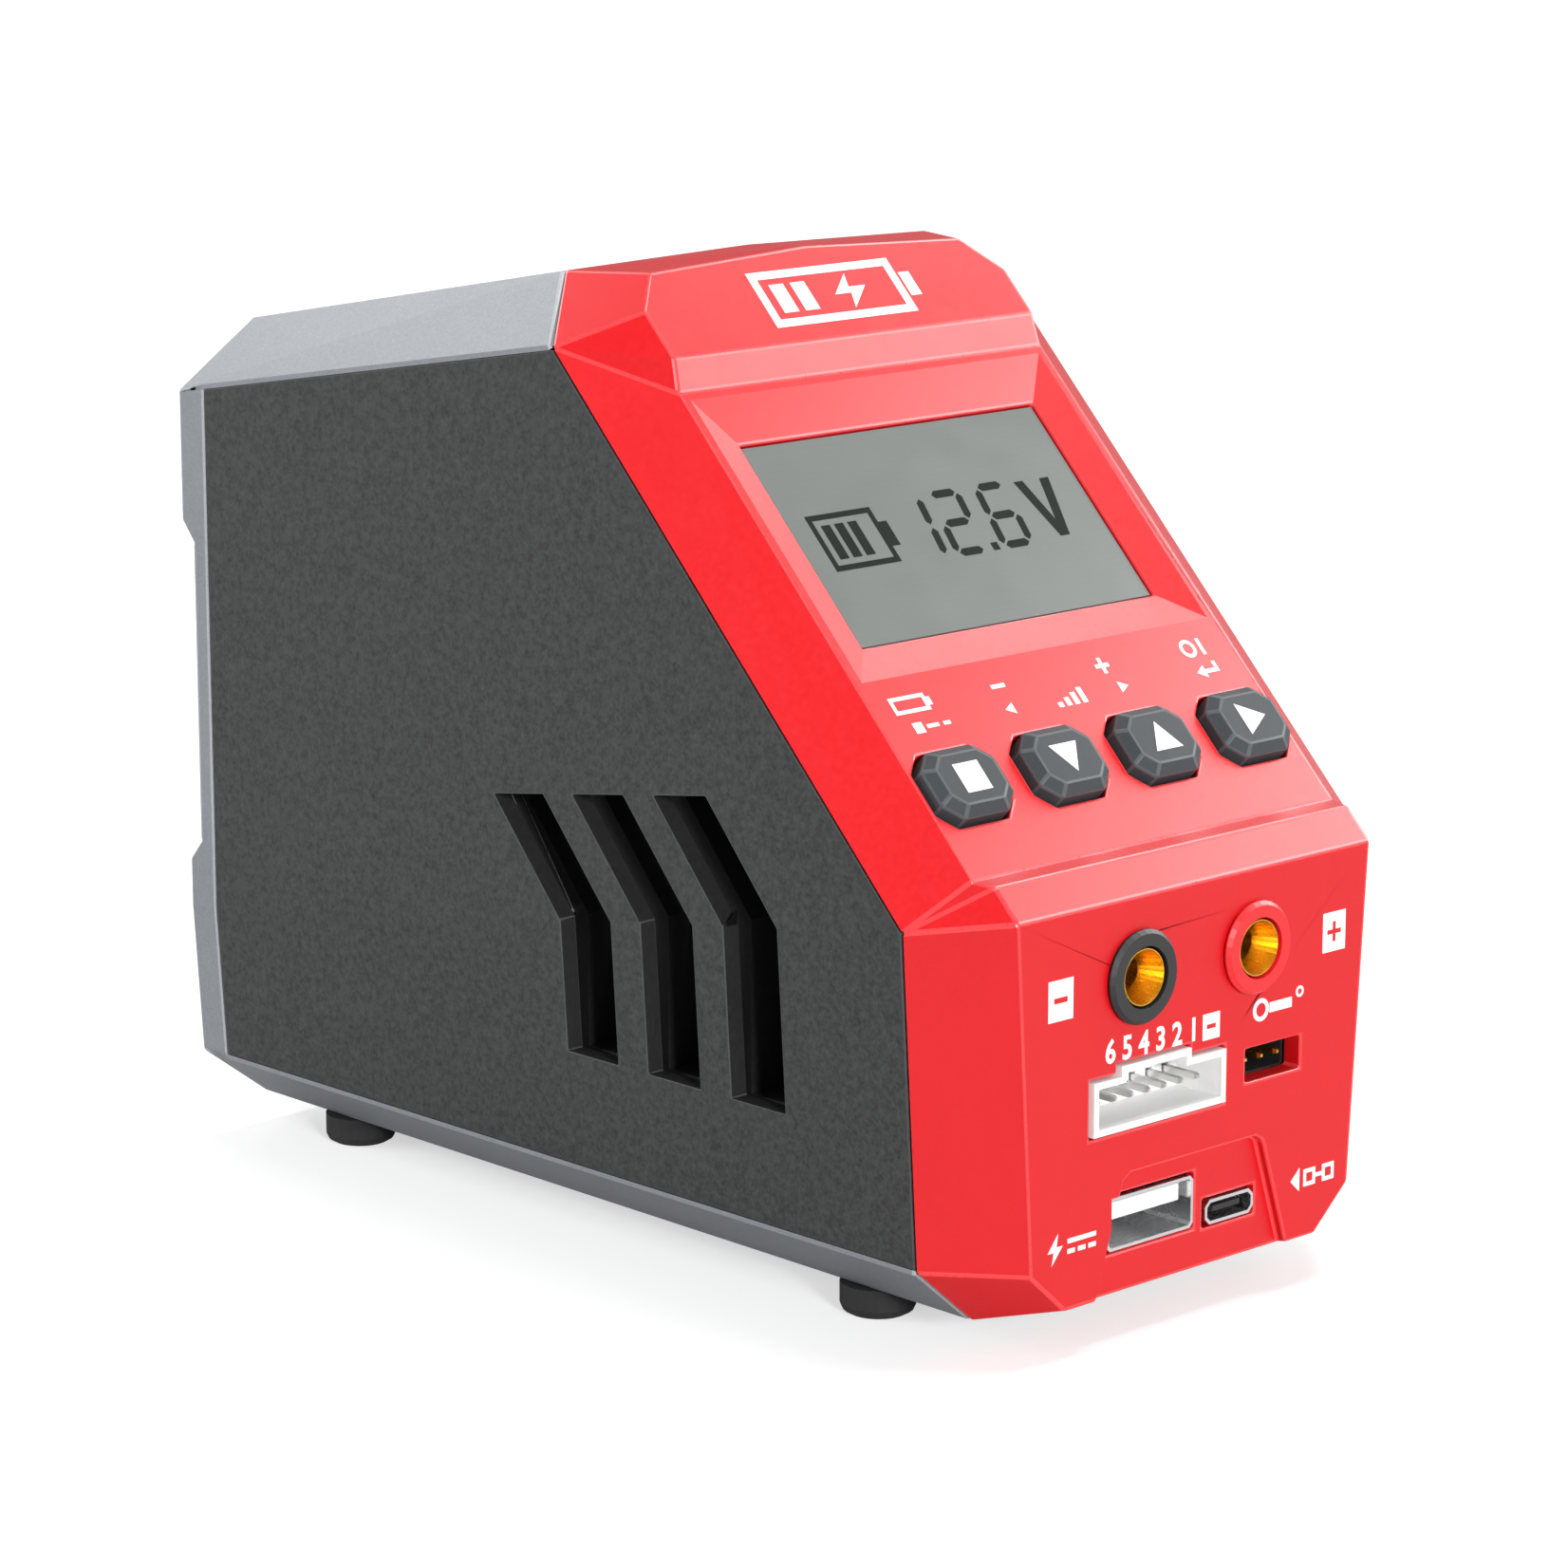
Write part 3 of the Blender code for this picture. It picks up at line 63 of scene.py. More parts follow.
class Graph:
    """A material's node tree around one Principled shader, with the object's own coordinates."""

    def __init__(self, name):
        self.mat = bpy.data.materials.new(name)
        self.mat.use_nodes = True
        self.tree = self.mat.node_tree
        self.shader = self.tree.nodes["Principled BSDF"]
        self.coords = self.tree.nodes.new("ShaderNodeTexCoord").outputs["Object"]

    def node(self, kind, **settings):
        made = self.tree.nodes.new(kind)
        for key, value in settings.items():
            setattr(made, key, value)
        return made

    def link(self, source, target):
        self.tree.links.new(source, target)

    def stretched(self, scale):
        """The object's coordinates, scaled along each axis."""
        mapping = self.node("ShaderNodeMapping")
        mapping.inputs["Scale"].default_value = scale
        self.link(self.coords, mapping.inputs["Vector"])
        return mapping.outputs["Vector"]

    def noise(self, size_mm, detail=3.0, roughness=0.55, stretch=None):
        """Noise whose features are about size_mm across."""
        made = self.node("ShaderNodeTexNoise")
        made.inputs["Scale"].default_value = 1.0 / (size_mm * MM)
        made.inputs["Detail"].default_value = detail
        made.inputs["Roughness"].default_value = roughness
        self.link(self.stretched(stretch) if stretch else self.coords, made.inputs["Vector"])
        return made.outputs["Fac"]

    def cells(self, size_mm):
        """The node of a cell pattern whose cells are about size_mm across."""
        made = self.node("ShaderNodeTexVoronoi")
        made.inputs["Scale"].default_value = 1.0 / (size_mm * MM)
        self.link(self.coords, made.inputs["Vector"])
        return made

    def remap(self, source, low, high, start=0.3, stop=0.7):
        """Spread the start to stop part of a value over low to high."""
        made = self.node("ShaderNodeMapRange")
        ends = {"From Min": start, "From Max": stop, "To Min": low, "To Max": high}
        for key, value in ends.items():
            made.inputs[key].default_value = value
        self.link(source, made.inputs["Value"])
        return made.outputs["Result"]

    def blend(self, factor, first, second):
        """Mix two colours, each a constant or a socket."""
        made = self.node("ShaderNodeMix", data_type="RGBA")
        self.link(factor, made.inputs["Factor"])
        for value, socket in ((first, made.inputs["A"]), (second, made.inputs["B"])):
            if hasattr(value, "links"):
                self.link(value, socket)
            else:
                socket.default_value = (*value, 1.0)
        return made.outputs["Result"]

    def add(self, first, second):
        made = self.node("ShaderNodeMath", operation="ADD")
        self.link(first, made.inputs[0])
        self.link(second, made.inputs[1])
        return made.outputs["Value"]

    def bump(self, height, distance_mm):
        made = self.node("ShaderNodeBump")
        made.inputs["Strength"].default_value = 1.0
        made.inputs["Distance"].default_value = distance_mm * MM
        self.link(height, made.inputs["Height"])
        self.link(made.outputs["Normal"], self.shader.inputs["Normal"])

    def set(self, **sockets):
        """Set constants on the shader's own sockets and hand over the material."""
        for key, value in sockets.items():
            self.shader.inputs[key.replace("_", " ")].default_value = value
        return self.mat


def moulded(name, tone, spread, rough, grain_mm, grain_depth, cloud_mm=14.0, **sockets):
    """Moulded plastic or rubber: faint clouds of colour, a fine grain and uneven gloss."""
    g = Graph(name)
    dark = [c * (1.0 - spread) for c in tone]
    light = [min(1.0, c * (1.0 + spread) + spread * 0.01) for c in tone]
    cloud = g.noise(cloud_mm, 4.0)
    grain = g.noise(grain_mm, 3.0, 0.6)
    tint = g.add(g.remap(cloud, 0.0, 0.5), g.remap(grain, 0.0, 0.5))
    g.link(g.blend(tint, dark, light), g.shader.inputs["Base Color"])
    scuff = g.noise(3.0, 6.0, 0.7, (1.0, 0.35, 0.35))
    gloss = g.remap(grain, rough - 0.04, rough + 0.05)
    g.link(g.add(gloss, g.remap(scuff, 0.0, 0.05, 0.52, 0.72)), g.shader.inputs["Roughness"])
    g.bump(grain, grain_depth)
    return g.set(**sockets)


def painted(name, tone, flake, rough, **sockets):
    """Metallic paint: small flakes of two tones over an even coat."""
    g = Graph(name)
    flakes = g.cells(0.16).outputs["Color"]
    value = g.node("ShaderNodeSeparateColor")
    g.link(flakes, value.inputs["Color"])
    cloud = g.noise(18.0, 3.0)
    mix = g.add(g.remap(value.outputs["Red"], 0.0, 0.6, 0.0, 1.0), g.remap(cloud, 0.0, 0.4))
    dark = [c * (1.0 - flake) for c in tone]
    light = [min(1.0, c * (1.0 + flake)) for c in tone]
    g.link(g.blend(mix, dark, light), g.shader.inputs["Base Color"])
    peel = g.noise(0.9, 2.0)
    g.link(g.remap(cloud, rough - 0.03, rough + 0.05), g.shader.inputs["Roughness"])
    g.bump(peel, 0.012)
    return g.set(**sockets)


def metal(name, tone, rough, stretch=(1.0, 1.0, 1.0), depth=0.006, stain=0.12, **sockets):
    """Bare or plated metal: fine drawn lines, soft stains and uneven polish."""
    g = Graph(name)
    lines = g.noise(0.35, 4.0, 0.7, stretch)
    cloud = g.noise(5.0, 5.0)
    dark = [c * (1.0 - stain) for c in tone]
    g.link(g.blend(g.remap(cloud, 0.0, 1.0), dark, tone), g.shader.inputs["Base Color"])
    gloss = g.add(g.remap(lines, rough - 0.06, rough + 0.06), g.remap(cloud, 0.0, 0.06))
    g.link(gloss, g.shader.inputs["Roughness"])
    g.bump(lines, depth)
    return g.set(Metallic=1.0, **sockets)


def circuit_board(name):
    """Green solder mask over copper tracks that show as raised paler lines, with tinned spots."""
    g = Graph(name)
    tracks = g.node("ShaderNodeTexBrick")
    tracks.inputs["Scale"].default_value = 1.0 / (7.0 * MM)
    tracks.inputs["Mortar Size"].default_value = 0.03
    tracks.inputs["Mortar Smooth"].default_value = 0.2
    g.link(g.coords, tracks.inputs["Vector"])
    cells = g.cells(3.4)
    spots = g.remap(cells.outputs["Distance"], 1.0, 0.0, 0.16, 0.20)
    mask = g.blend(tracks.outputs["Fac"], (0.010, 0.105, 0.036), (0.03, 0.22, 0.08))
    g.link(g.blend(spots, mask, (0.62, 0.62, 0.60)), g.shader.inputs["Base Color"])
    g.link(g.remap(g.noise(2.0), 0.30, 0.42), g.shader.inputs["Roughness"])
    g.bump(g.add(tracks.outputs["Fac"], spots), 0.03)
    return g.mat


def wound(name, tone, dark, pitch_mm, direction, rough, **sockets):
    """Wire or tape laid side by side in bands."""
    g = Graph(name)
    bands = g.node("ShaderNodeTexWave", bands_direction=direction)
    bands.inputs["Scale"].default_value = 0.314 / (pitch_mm * MM)
    bands.inputs["Distortion"].default_value = 0.4
    g.link(g.coords, bands.inputs["Vector"])
    g.link(g.blend(bands.outputs["Fac"], dark, tone), g.shader.inputs["Base Color"])
    g.link(g.remap(g.noise(1.2), rough - 0.05, rough + 0.08), g.shader.inputs["Roughness"])
    g.bump(bands.outputs["Fac"], 0.08)
    return g.set(**sockets)


def display_face(name):
    """A switched-off liquid-crystal cell: grey-green with a very faint cell grid."""
    g = Graph(name)
    grid = g.node("ShaderNodeTexBrick", offset=0.0)
    grid.inputs["Scale"].default_value = 1.0 / (0.55 * MM)
    grid.inputs["Brick Width"].default_value = 1.0
    grid.inputs["Row Height"].default_value = 1.0
    grid.inputs["Mortar Size"].default_value = 0.06
    g.link(g.coords, grid.inputs["Vector"])
    cloud = g.remap(g.noise(20.0, 2.0), 0.0, 1.0)
    base = g.blend(cloud, (0.148, 0.163, 0.153), (0.160, 0.176, 0.166))
    fade = g.remap(grid.outputs["Fac"], 0.0, 0.10, 0.0, 1.0)
    g.link(g.blend(fade, base, (0.10, 0.11, 0.10)), g.shader.inputs["Base Color"])
    g.link(g.remap(g.noise(6.0), 0.30, 0.36), g.shader.inputs["Roughness"])
    g.bump(g.noise(0.3), 0.001)
    return g.set(Specular_IOR_Level=0.22)


DRAWN_X, DRAWN_Y, DRAWN_Z = (0.2, 1.0, 1.0), (1.0, 0.2, 1.0), (1.0, 1.0, 0.15)
MATERIALS = {
    "red_plastic": moulded("red_plastic", (0.62, 0.005, 0.009), 0.035, 0.36, 0.55, 0.006,
                           Specular_IOR_Level=0.42),
    "silver_paint": painted("silver_paint", (0.225, 0.238, 0.258), 0.16, 0.42,
                            Metallic=0.04, Specular_IOR_Level=0.16),
    "graphite_plastic": moulded("graphite_plastic", (0.042, 0.043, 0.043), 0.50, 0.62, 0.40, 0.04,
                                cloud_mm=0.9, Specular_IOR_Level=0.18),
    "black_plastic": moulded("black_plastic", (0.014, 0.014, 0.015), 0.20, 0.52, 0.5, 0.02),
    "display_glass": display_face("display_glass"),
    "key_rubber": moulded("key_rubber", (0.044, 0.051, 0.056), 0.12, 0.58, 0.35, 0.02,
                          Specular_IOR_Level=0.16),
    "white_nylon": moulded("white_nylon", (0.84, 0.84, 0.83), 0.03, 0.42, 0.6, 0.006),
    "red_ring": moulded("red_ring", (0.78, 0.014, 0.018), 0.04, 0.35, 0.5, 0.004),
    "tinned_brass": metal("tinned_brass", (0.74, 0.74, 0.73), 0.30, (1.0, 0.3, 1.0)),
    "brass": metal("brass", (0.95, 0.58, 0.08), 0.26, DRAWN_Y),
    "steel": metal("steel", (0.60, 0.61, 0.62), 0.30, DRAWN_Z),
    "chrome": metal("chrome", (0.80, 0.81, 0.82), 0.22, DRAWN_X, 0.003, 0.06),
    "module_steel": metal("module_steel", (0.55, 0.55, 0.56), 0.36, (0.15, 1.0, 1.0)),
    "circuit_board": circuit_board("circuit_board"),
    "clear_film": moulded("clear_film", (0.56, 0.56, 0.51), 0.05, 0.30, 0.8, 0.01),
    "aluminium": metal("aluminium", (0.66, 0.67, 0.68), 0.42, (1.0, 1.0, 0.08), 0.012),
    "ferrite": moulded("ferrite", (0.055, 0.055, 0.058), 0.25, 0.66, 0.25, 0.05),
    "yellow_tape": wound("yellow_tape", (0.80, 0.58, 0.08), (0.62, 0.42, 0.05), 3.0, "Z", 0.35),
    "capacitor_sleeve": moulded("capacitor_sleeve", (0.02, 0.045, 0.20), 0.15, 0.30, 0.9, 0.01),
    "copper_wire": wound("copper_wire", (0.80, 0.36, 0.14), (0.30, 0.10, 0.04), 0.7, "X", 0.32,
                         Metallic=0.8),
    "flat_cable": wound("flat_cable", (0.48, 0.48, 0.49), (0.26, 0.26, 0.27), 1.27, "X", 0.55),
    "black_insulation": moulded("black_insulation", (0.013, 0.013, 0.014), 0.2, 0.48, 0.5, 0.01),
    "red_insulation": moulded("red_insulation", (0.62, 0.02, 0.02), 0.08, 0.46, 0.5, 0.01),
    "rubber": moulded("rubber", (0.014, 0.014, 0.014), 0.25, 0.80, 0.4, 0.04),
}
INK = moulded("white_ink", (0.92, 0.92, 0.91), 0.03, 0.5, 0.3, 0.003)
SEGMENT = moulded("dark_segment", (0.008, 0.012, 0.009), 0.15, 0.5, 0.4, 0.002,
                  Specular_IOR_Level=0.04)
# A near-black sheet material for behind the vents: painted shade.
SHADE_SHEET = moulded("black_shade_sheet", (0.010, 0.010, 0.010), 0.40, 0.90, 0.30, 0.12,
               cloud_mm=2.0, Specular_IOR_Level=0.1)
# Lighter, glossier copies of four finishes for the softened edges: a painted highlight along every rounded crease.
EDGE_HIGHLIGHTS = {
    "red_plastic": moulded("red_edge_highlight", (0.78, 0.045, 0.05), 0.06, 0.30, 0.5, 0.004, cloud_mm=6.0),
    "silver_paint": painted("silver_edge_highlight", (0.34, 0.355, 0.38), 0.12, 0.38,
                            Metallic=0.06, Specular_IOR_Level=0.3),
    "graphite_plastic": moulded("graphite_edge_highlight", (0.060, 0.062, 0.063), 0.25, 0.52, 0.5, 0.02,
                                cloud_mm=5.0, Specular_IOR_Level=0.25),
    "key_rubber": moulded("key_edge_highlight", (0.075, 0.086, 0.093), 0.12, 0.50, 0.4, 0.01,
                          cloud_mm=4.0, Specular_IOR_Level=0.25),
}
EDGE_HIGHLIGHT_INDEX = 1
# Slot for the black painted shade on the walls inside the vents.
VENT_SHADE_INDEX = 2
SOFT_EDGES_MM = {
    "front_shell": 0.28, "case_shell": 0.3, "left_side_panel": 0.12, "right_side_panel": 0.12,
    "button_stop": 0.22, "button_down": 0.22, "button_up": 0.22, "button_start": 0.22,
}


# Carried-over nodes

def dress(node):
    """Give a node its finish and, where the finish has one, a second slot for a lighter copy of it on its softened
    edges, a painted highlight.
    """
    obj = NODES[node]
    slot = SLOT_OF[node]
    obj.data.materials.clear()
    obj.data.materials.append(MATERIALS[slot])
    for polygon in obj.data.polygons:
        polygon.material_index = 0
    if slot in EDGE_HIGHLIGHTS:
        obj.data.materials.append(EDGE_HIGHLIGHTS[slot])


def soften(node, width_mm):
    """Weld the faceted mesh and round every crease by a little, with the lighter edge material on the rounding as
    a painted highlight.
    """
    obj = NODES[node]
    custom = obj.data.attributes.get("custom_normal")
    if custom:
        obj.data.attributes.remove(custom)
    obj.data.shade_flat()
    weld = obj.modifiers.new("weld", "WELD")
    weld.merge_threshold = 0.01 * MM
    bevel = obj.modifiers.new("soft_edges", "BEVEL")
    bevel.width = width_mm * MM
    bevel.segments = 2
    bevel.limit_method = "ANGLE"
    bevel.angle_limit = math.radians(22.0)
    bevel.use_clamp_overlap = False
    # The rounded edges take the lighter second material: a painted highlight.
    bevel.material = EDGE_HIGHLIGHT_INDEX


def paint_vent_shade():
    """Paint the walls inside the vents black, a painted shade that makes them as dark as the channels behind them.
    """
    for side, _ in SIDES:
        low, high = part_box(side + "_vent_duct")
        for node in ("case_shell", side + "_side_panel"):
            mesh = NODES[node].data
            if len(mesh.materials) <= VENT_SHADE_INDEX:
                mesh.materials.append(MATERIALS["black_plastic"])
            for polygon in mesh.polygons:
                spot = polygon.center
                inside = low.y <= spot.y <= high.y and low.z <= spot.z <= high.z
                if inside and abs(polygon.normal.x) < 0.7:
                    # The slot walls get black plastic in place of their own finish: painted shade.
                    polygon.material_index = VENT_SHADE_INDEX


for name in NODES:
    dress(name)
paint_vent_shade()
for name, width in SOFT_EDGES_MM.items():
    soften(name, width)


# Surfaces that carry printed marks

press = next(j for j in frame["joints"] if j["name"] == "button_stop_press")
OUT = -Vector(press["axis"]).normalized()
UPHILL = OUT.cross(ACROSS)


def reach(node, direction):
    """How far a node goes along a direction: its least and greatest distance from the origin."""
    distances = [v.co.dot(direction) for v in NODES[node].data.vertices]
    return min(distances), max(distances)


def plane(right, up, out, level, at=ORIGIN):
    """A frame on the plane at that level along out, through the point's place in the plane."""
    origin = at - out * at.dot(out) + out * level
    turned = Matrix((right, up, out)).transposed().to_4x4()
    return Matrix.Translation(origin) @ turned


def slope_plane(level, at):
    return plane(ACROSS, UPHILL, OUT, level, at)


def middle_uphill(node):
    low, high = reach(node, UPHILL)
    return UPHILL * ((low + high) / 2)


FACE = plane(ACROSS, UP, -BACK, -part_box("front_shell")[0].y)
KEY_CAP = 1.9 * MM
HOOD_STEP = 1.75 * MM
PANEL_LEVEL = reach("button_stop", OUT)[1] - KEY_CAP
HOOD_LEVEL = PANEL_LEVEL + HOOD_STEP
KEY_ROW = slope_plane(PANEL_LEVEL, middle_uphill("button_stop"))
GLASS = slope_plane(reach("lcd_glass", OUT)[1], middle_uphill("lcd_glass"))
INK_LIFT = 0.004
INK_THICK = 0.028
SEGMENT_THICK = 0.012
SHADE_SHEET_THICK = 0.6


def finish_mark(name, mesh, place, mat, body):
    """Put a mark's mesh in its plane, in its ink, on its body."""
    obj = bpy.data.objects.new(name, mesh)
    bpy.context.scene.collection.objects.link(obj)
    mesh.transform(place)
    mesh.materials.clear()
    mesh.materials.append(mat)
    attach(obj, body)


def mark(name, shapes, place, mat=INK, body=ROOT, thick=INK_THICK):
    """Print flat shapes, each an outline with optional holes in mm, as a thin raised layer."""
    bm = bmesh.new()
    for loops in shapes:
        flat = [[Vector((x, y, 0.0)) for x, y in loop] for loop in loops]
        lift = Vector((0.0, 0.0, INK_LIFT))
        verts = [bm.verts.new((p + lift) * MM) for loop in flat for p in loop]
        faces = [bm.faces.new([verts[i] for i in tri]) for tri in tessellate_polygon(flat)]
        made = bmesh.ops.extrude_face_region(bm, geom=faces, use_keep_orig=True)
        raised = [e for e in made["geom"] if isinstance(e, bmesh.types.BMVert)]
        bmesh.ops.translate(bm, verts=raised, vec=(0.0, 0.0, thick * MM))
    bmesh.ops.recalc_face_normals(bm, faces=bm.faces)
    mesh = bpy.data.meshes.new(name)
    bm.to_mesh(mesh)
    bm.free()
    finish_mark(name, mesh, place, mat, body)


def numeral(name, text, centre, height_mm, place, squeeze):
    """A plain numeral in the built-in typeface, centred on a point of the plane."""
    curve = bpy.data.curves.new(name, "FONT")
    curve.body = text
    curve.align_x = "CENTER"
    curve.align_y = "CENTER"
    curve.size = height_mm / 0.72
    curve.offset = 0.035 * height_mm
    curve.extrude = INK_THICK / 2
    curve.resolution_u = 3
    source = bpy.data.objects.new(name, curve)
    bpy.context.scene.collection.objects.link(source)
    bpy.context.view_layer.update()
    mesh = bpy.data.meshes.new_from_object(source)
    bpy.data.objects.remove(source)
    shift = Matrix.Translation((centre[0] * MM, centre[1] * MM, (INK_LIFT + INK_THICK / 2) * MM))
    mesh.transform(shift @ Matrix.Diagonal((MM * squeeze, MM, MM, 1.0)))
    finish_mark(name, mesh, place, INK, ROOT)


# Outlines, in mm

def box_loop(cx, cy, width, height):
    w, h = width / 2, height / 2
    return [(cx - w, cy - h), (cx + w, cy - h), (cx + w, cy + h), (cx - w, cy + h)]


def ring_loop(cx, cy, radius, sides=24):
    turns = [2 * math.pi * k / sides for k in range(sides)]
    return [(cx + radius * math.cos(t), cy + radius * math.sin(t)) for t in turns]


def plus_loop(cx, cy, size, bar):
    a, b = size / 2, bar / 2
    quarter = [(b, b), (b, a), (-b, a), (-b, b), (-a, b), (-a, -b)]
    return [(cx + x, cy + y) for x, y in quarter + [(-x, -y) for x, y in quarter]]


def bar(cx, cy, width, height):
    """A solid bar, as a shape."""
    return [box_loop(cx, cy, width, height)]


def window(cx, cy, outer, inner):
    """A rectangular outline, as a shape: outer and inner are (width, height)."""
    return [box_loop(cx, cy, *outer), box_loop(cx, cy, *inner)]


def ring(cx, cy, outer, inner):
    """A round outline, as a shape: outer and inner are radii."""
    return [ring_loop(cx, cy, outer), ring_loop(cx, cy, inner)]


# Black sheets behind the vents, as painted shade

def vent_shade_sheet(side, sign):
    """A thin black sheet over the inner end of a vent duct, cut to the duct's outline: painted shade that keeps
    the vents dark.
    """
    corners = [v.co for v in NODES[side + "_vent_duct"].data.vertices]
    inner = min(sign * p.x for p in corners)
    rim = [Vector((-sign * p.y, p.z)) / MM for p in corners if sign * p.x < inner + 0.1 * MM]
    loop = [rim[i] for i in convex_hull_2d(rim)]
    middle = sum(loop, Vector((0.0, 0.0))) / len(loop)
    loop = [tuple(middle + (p - middle) * 0.97) for p in loop]
    place = plane(-sign * BACK, UP, -sign * ACROSS, -inner)
    mark(side + "_vent_shade_sheet", [[loop]], place, SHADE_SHEET, thick=SHADE_SHEET_THICK)


for side, sign in SIDES:
    vent_shade_sheet(side, sign)


# Marks on the keys

KEY_MARKS = {
    "button_stop": [(-1.75, -1.75), (1.75, -1.75), (1.75, 1.75), (-1.75, 1.75)],
    "button_down": [(-2.0, 1.6), (0.0, -1.9), (2.0, 1.6)],
    "button_up": [(-2.0, -1.6), (2.0, -1.6), (0.0, 1.9)],
    "button_start": [(-1.6, -2.0), (1.9, 0.0), (-1.6, 2.0)],
}
for key, outline in KEY_MARKS.items():
    low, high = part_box(key)
    middle = ACROSS * ((low.x + high.x) / 2) + middle_uphill(key)
    mark("mark_" + key, [[outline]], slope_plane(reach(key, OUT)[1], middle), body=key)


# Signs on the control panel, above the keys

PANEL_SIGNS = {
    "sign_battery": [window(-21.6, 10.5, (5.0, 2.1), (4.1, 1.2)), bar(-18.8, 10.5, 0.5, 1.0)],
    "sign_halt": [bar(-22.2, 7.6, 1.3, 1.3), bar(-20.2, 7.6, 1.7, 0.45),
                  bar(-18.2, 7.6, 1.0, 0.45)],
    "sign_less": [bar(-8.7, 10.6, 2.0, 0.5)],
    "sign_more": [[plus_loop(7.0, 10.6, 2.0, 0.5)]],
    "sign_level": [bar(-1.8 + 1.2 * k, 7.0 + 0.225 * k, 0.7, 0.6 + 0.45 * k) for k in range(4)],
    "sign_ring": [ring(20.4, 10.6, 1.15, 0.7), bar(22.4, 10.6, 0.5, 2.1)],
    "sign_return": [[[(19.6, 7.5), (20.9, 6.7), (20.9, 7.25), (23.0, 7.25), (23.0, 8.6),
                      (22.5, 8.6), (22.5, 7.75), (20.9, 7.75), (20.9, 8.3)]]],
    "arrow_down": [[[(-9.6, 7.7), (-8.3, 7.0), (-8.3, 8.4)]]],
    "arrow_up": [[[(8.9, 7.7), (7.6, 8.4), (7.6, 7.0)]]],
}
for name, shapes in PANEL_SIGNS.items():
    mark(name, shapes, KEY_ROW)


# Signs and cell numbers on the front face

POLE_BOX = (3.6, 4.3)
mark("mark_negative", [window(-20.4, 38.5, POLE_BOX, (2.0, 0.6))], FACE)
mark("mark_positive", [[box_loop(21.3, 38.4, *POLE_BOX), plus_loop(21.3, 38.4, 2.2, 0.5)]], FACE)
mark("mark_common", [window(2.2, 31.6, (2.6, 2.8), (1.4, 0.5))], FACE)
CELL_PITCH = 2.5
for index, digit in enumerate("654321"):
    numeral("cell_" + digit, digit, (-13.0 + CELL_PITCH * index, 31.6), 2.5, FACE, squeeze=0.9)
FACE_SIGNS = {
    "sign_thermometer": [ring(9.9, 31.9, 1.25, 0.75), bar(13.0, 31.9, 3.5, 1.1),
                         ring(16.0, 32.8, 0.62, 0.32)],
    "sign_direct": [bar(-16.9, 12.9, 4.2, 0.5)]
                   + [bar(-18.45 + 1.55 * k, 11.8, 1.1, 0.5) for k in range(3)],
    "sign_bolt": [[[(-21.9, 12.1), (-20.4, 14.0), (-20.6, 12.6), (-19.7, 12.6), (-21.3, 10.7),
                    (-21.0, 12.1)]]],
    "sign_link": [window(18.2, 12.0, (1.9, 1.9), (1.0, 1.0)), bar(19.7, 12.0, 1.0, 0.45),
                  window(21.2, 12.0, (1.9, 1.9), (1.0, 1.0))],
    "arrow_link": [[[(15.2, 12.0), (16.6, 10.7), (16.6, 13.3)]]],
}
for name, shapes in FACE_SIGNS.items():
    mark(name, shapes, FACE)


# Readout on the display

DIGIT_BARS = {"1": "bc", "2": "abged", "6": "afgedc"}
DIGIT_HEIGHT = 7.6
DIGIT_LEAN = 0.12


def digit_shapes(digit, x):
    """The lit bars of a seven-segment digit centred at x."""
    width, half, thick = DIGIT_HEIGHT * 0.52, DIGIT_HEIGHT / 2, DIGIT_HEIGHT * 0.13
    tip = thick / 2
    left, right = -width / 2, width / 2
    places = {"a": (0, half), "g": (0, 0), "d": (0, -half), "f": (left, half / 2),
              "b": (right, half / 2), "e": (left, -half / 2), "c": (right, -half / 2)}
    shapes = []
    for letter in DIGIT_BARS[digit]:
        cx, cy = places[letter]
        level = letter in "agd"
        end = ((width if level else half) - thick * 0.25) / 2 - 0.1
        outline = [(-end, 0), (-end + tip, -tip), (end - tip, -tip), (end, 0), (end - tip, tip),
                   (-end + tip, tip)]
        points = [(cx + u, cy + v) if level else (cx - v, cy + u) for u, v in outline]
        shapes.append([[(x + u + DIGIT_LEAN * v, v) for u, v in points]])
    return shapes


readout = digit_shapes("1", -4.6) + digit_shapes("2", 1.2)
readout += [bar(4.4, -3.7, 1.0, 1.0)] + digit_shapes("6", 8.2)
readout += [[[(12.4, 3.8), (13.8, 3.8), (15.1, -1.6), (16.4, 3.8), (17.8, 3.8), (15.8, -3.8),
              (14.4, -3.8)]]]
readout += [window(-14.2, 0.0, (9.4, 7.2), (8.0, 5.8)), bar(-8.9, 0.0, 1.2, 3.2)]
readout += [bar(-16.8 + 1.9 * k, 0.0, 1.3, 4.4) for k in range(3)]
mark("readout", readout, GLASS, SEGMENT, thick=SEGMENT_THICK)


# Generic badge on the hood: a battery outline with a charging bolt

BADGE_DROP = 6.5 * MM
hood_points = [v.co for v in NODES["front_shell"].data.vertices
               if abs(v.co.dot(OUT) - HOOD_LEVEL) < 0.05 * MM]
hood_top = max(p.dot(UPHILL) for p in hood_points)
badge = [window(0.0, 0.0, (21.0, 7.4), (18.8, 5.4)), bar(11.7, 0.0, 1.6, 3.2)]
badge += [bar(-7.2 + 3.1 * k, 0.0, 2.1, 3.8) for k in range(2)]
badge += [[[(0.2, -0.3), (3.2, 2.3), (2.7, 0.5), (5.2, 0.5), (2.0, -2.3), (2.6, -0.3)]]]
mark("badge", badge, slope_plane(HOOD_LEVEL, UPHILL * (hood_top - BADGE_DROP)))


# Floor, light and camera

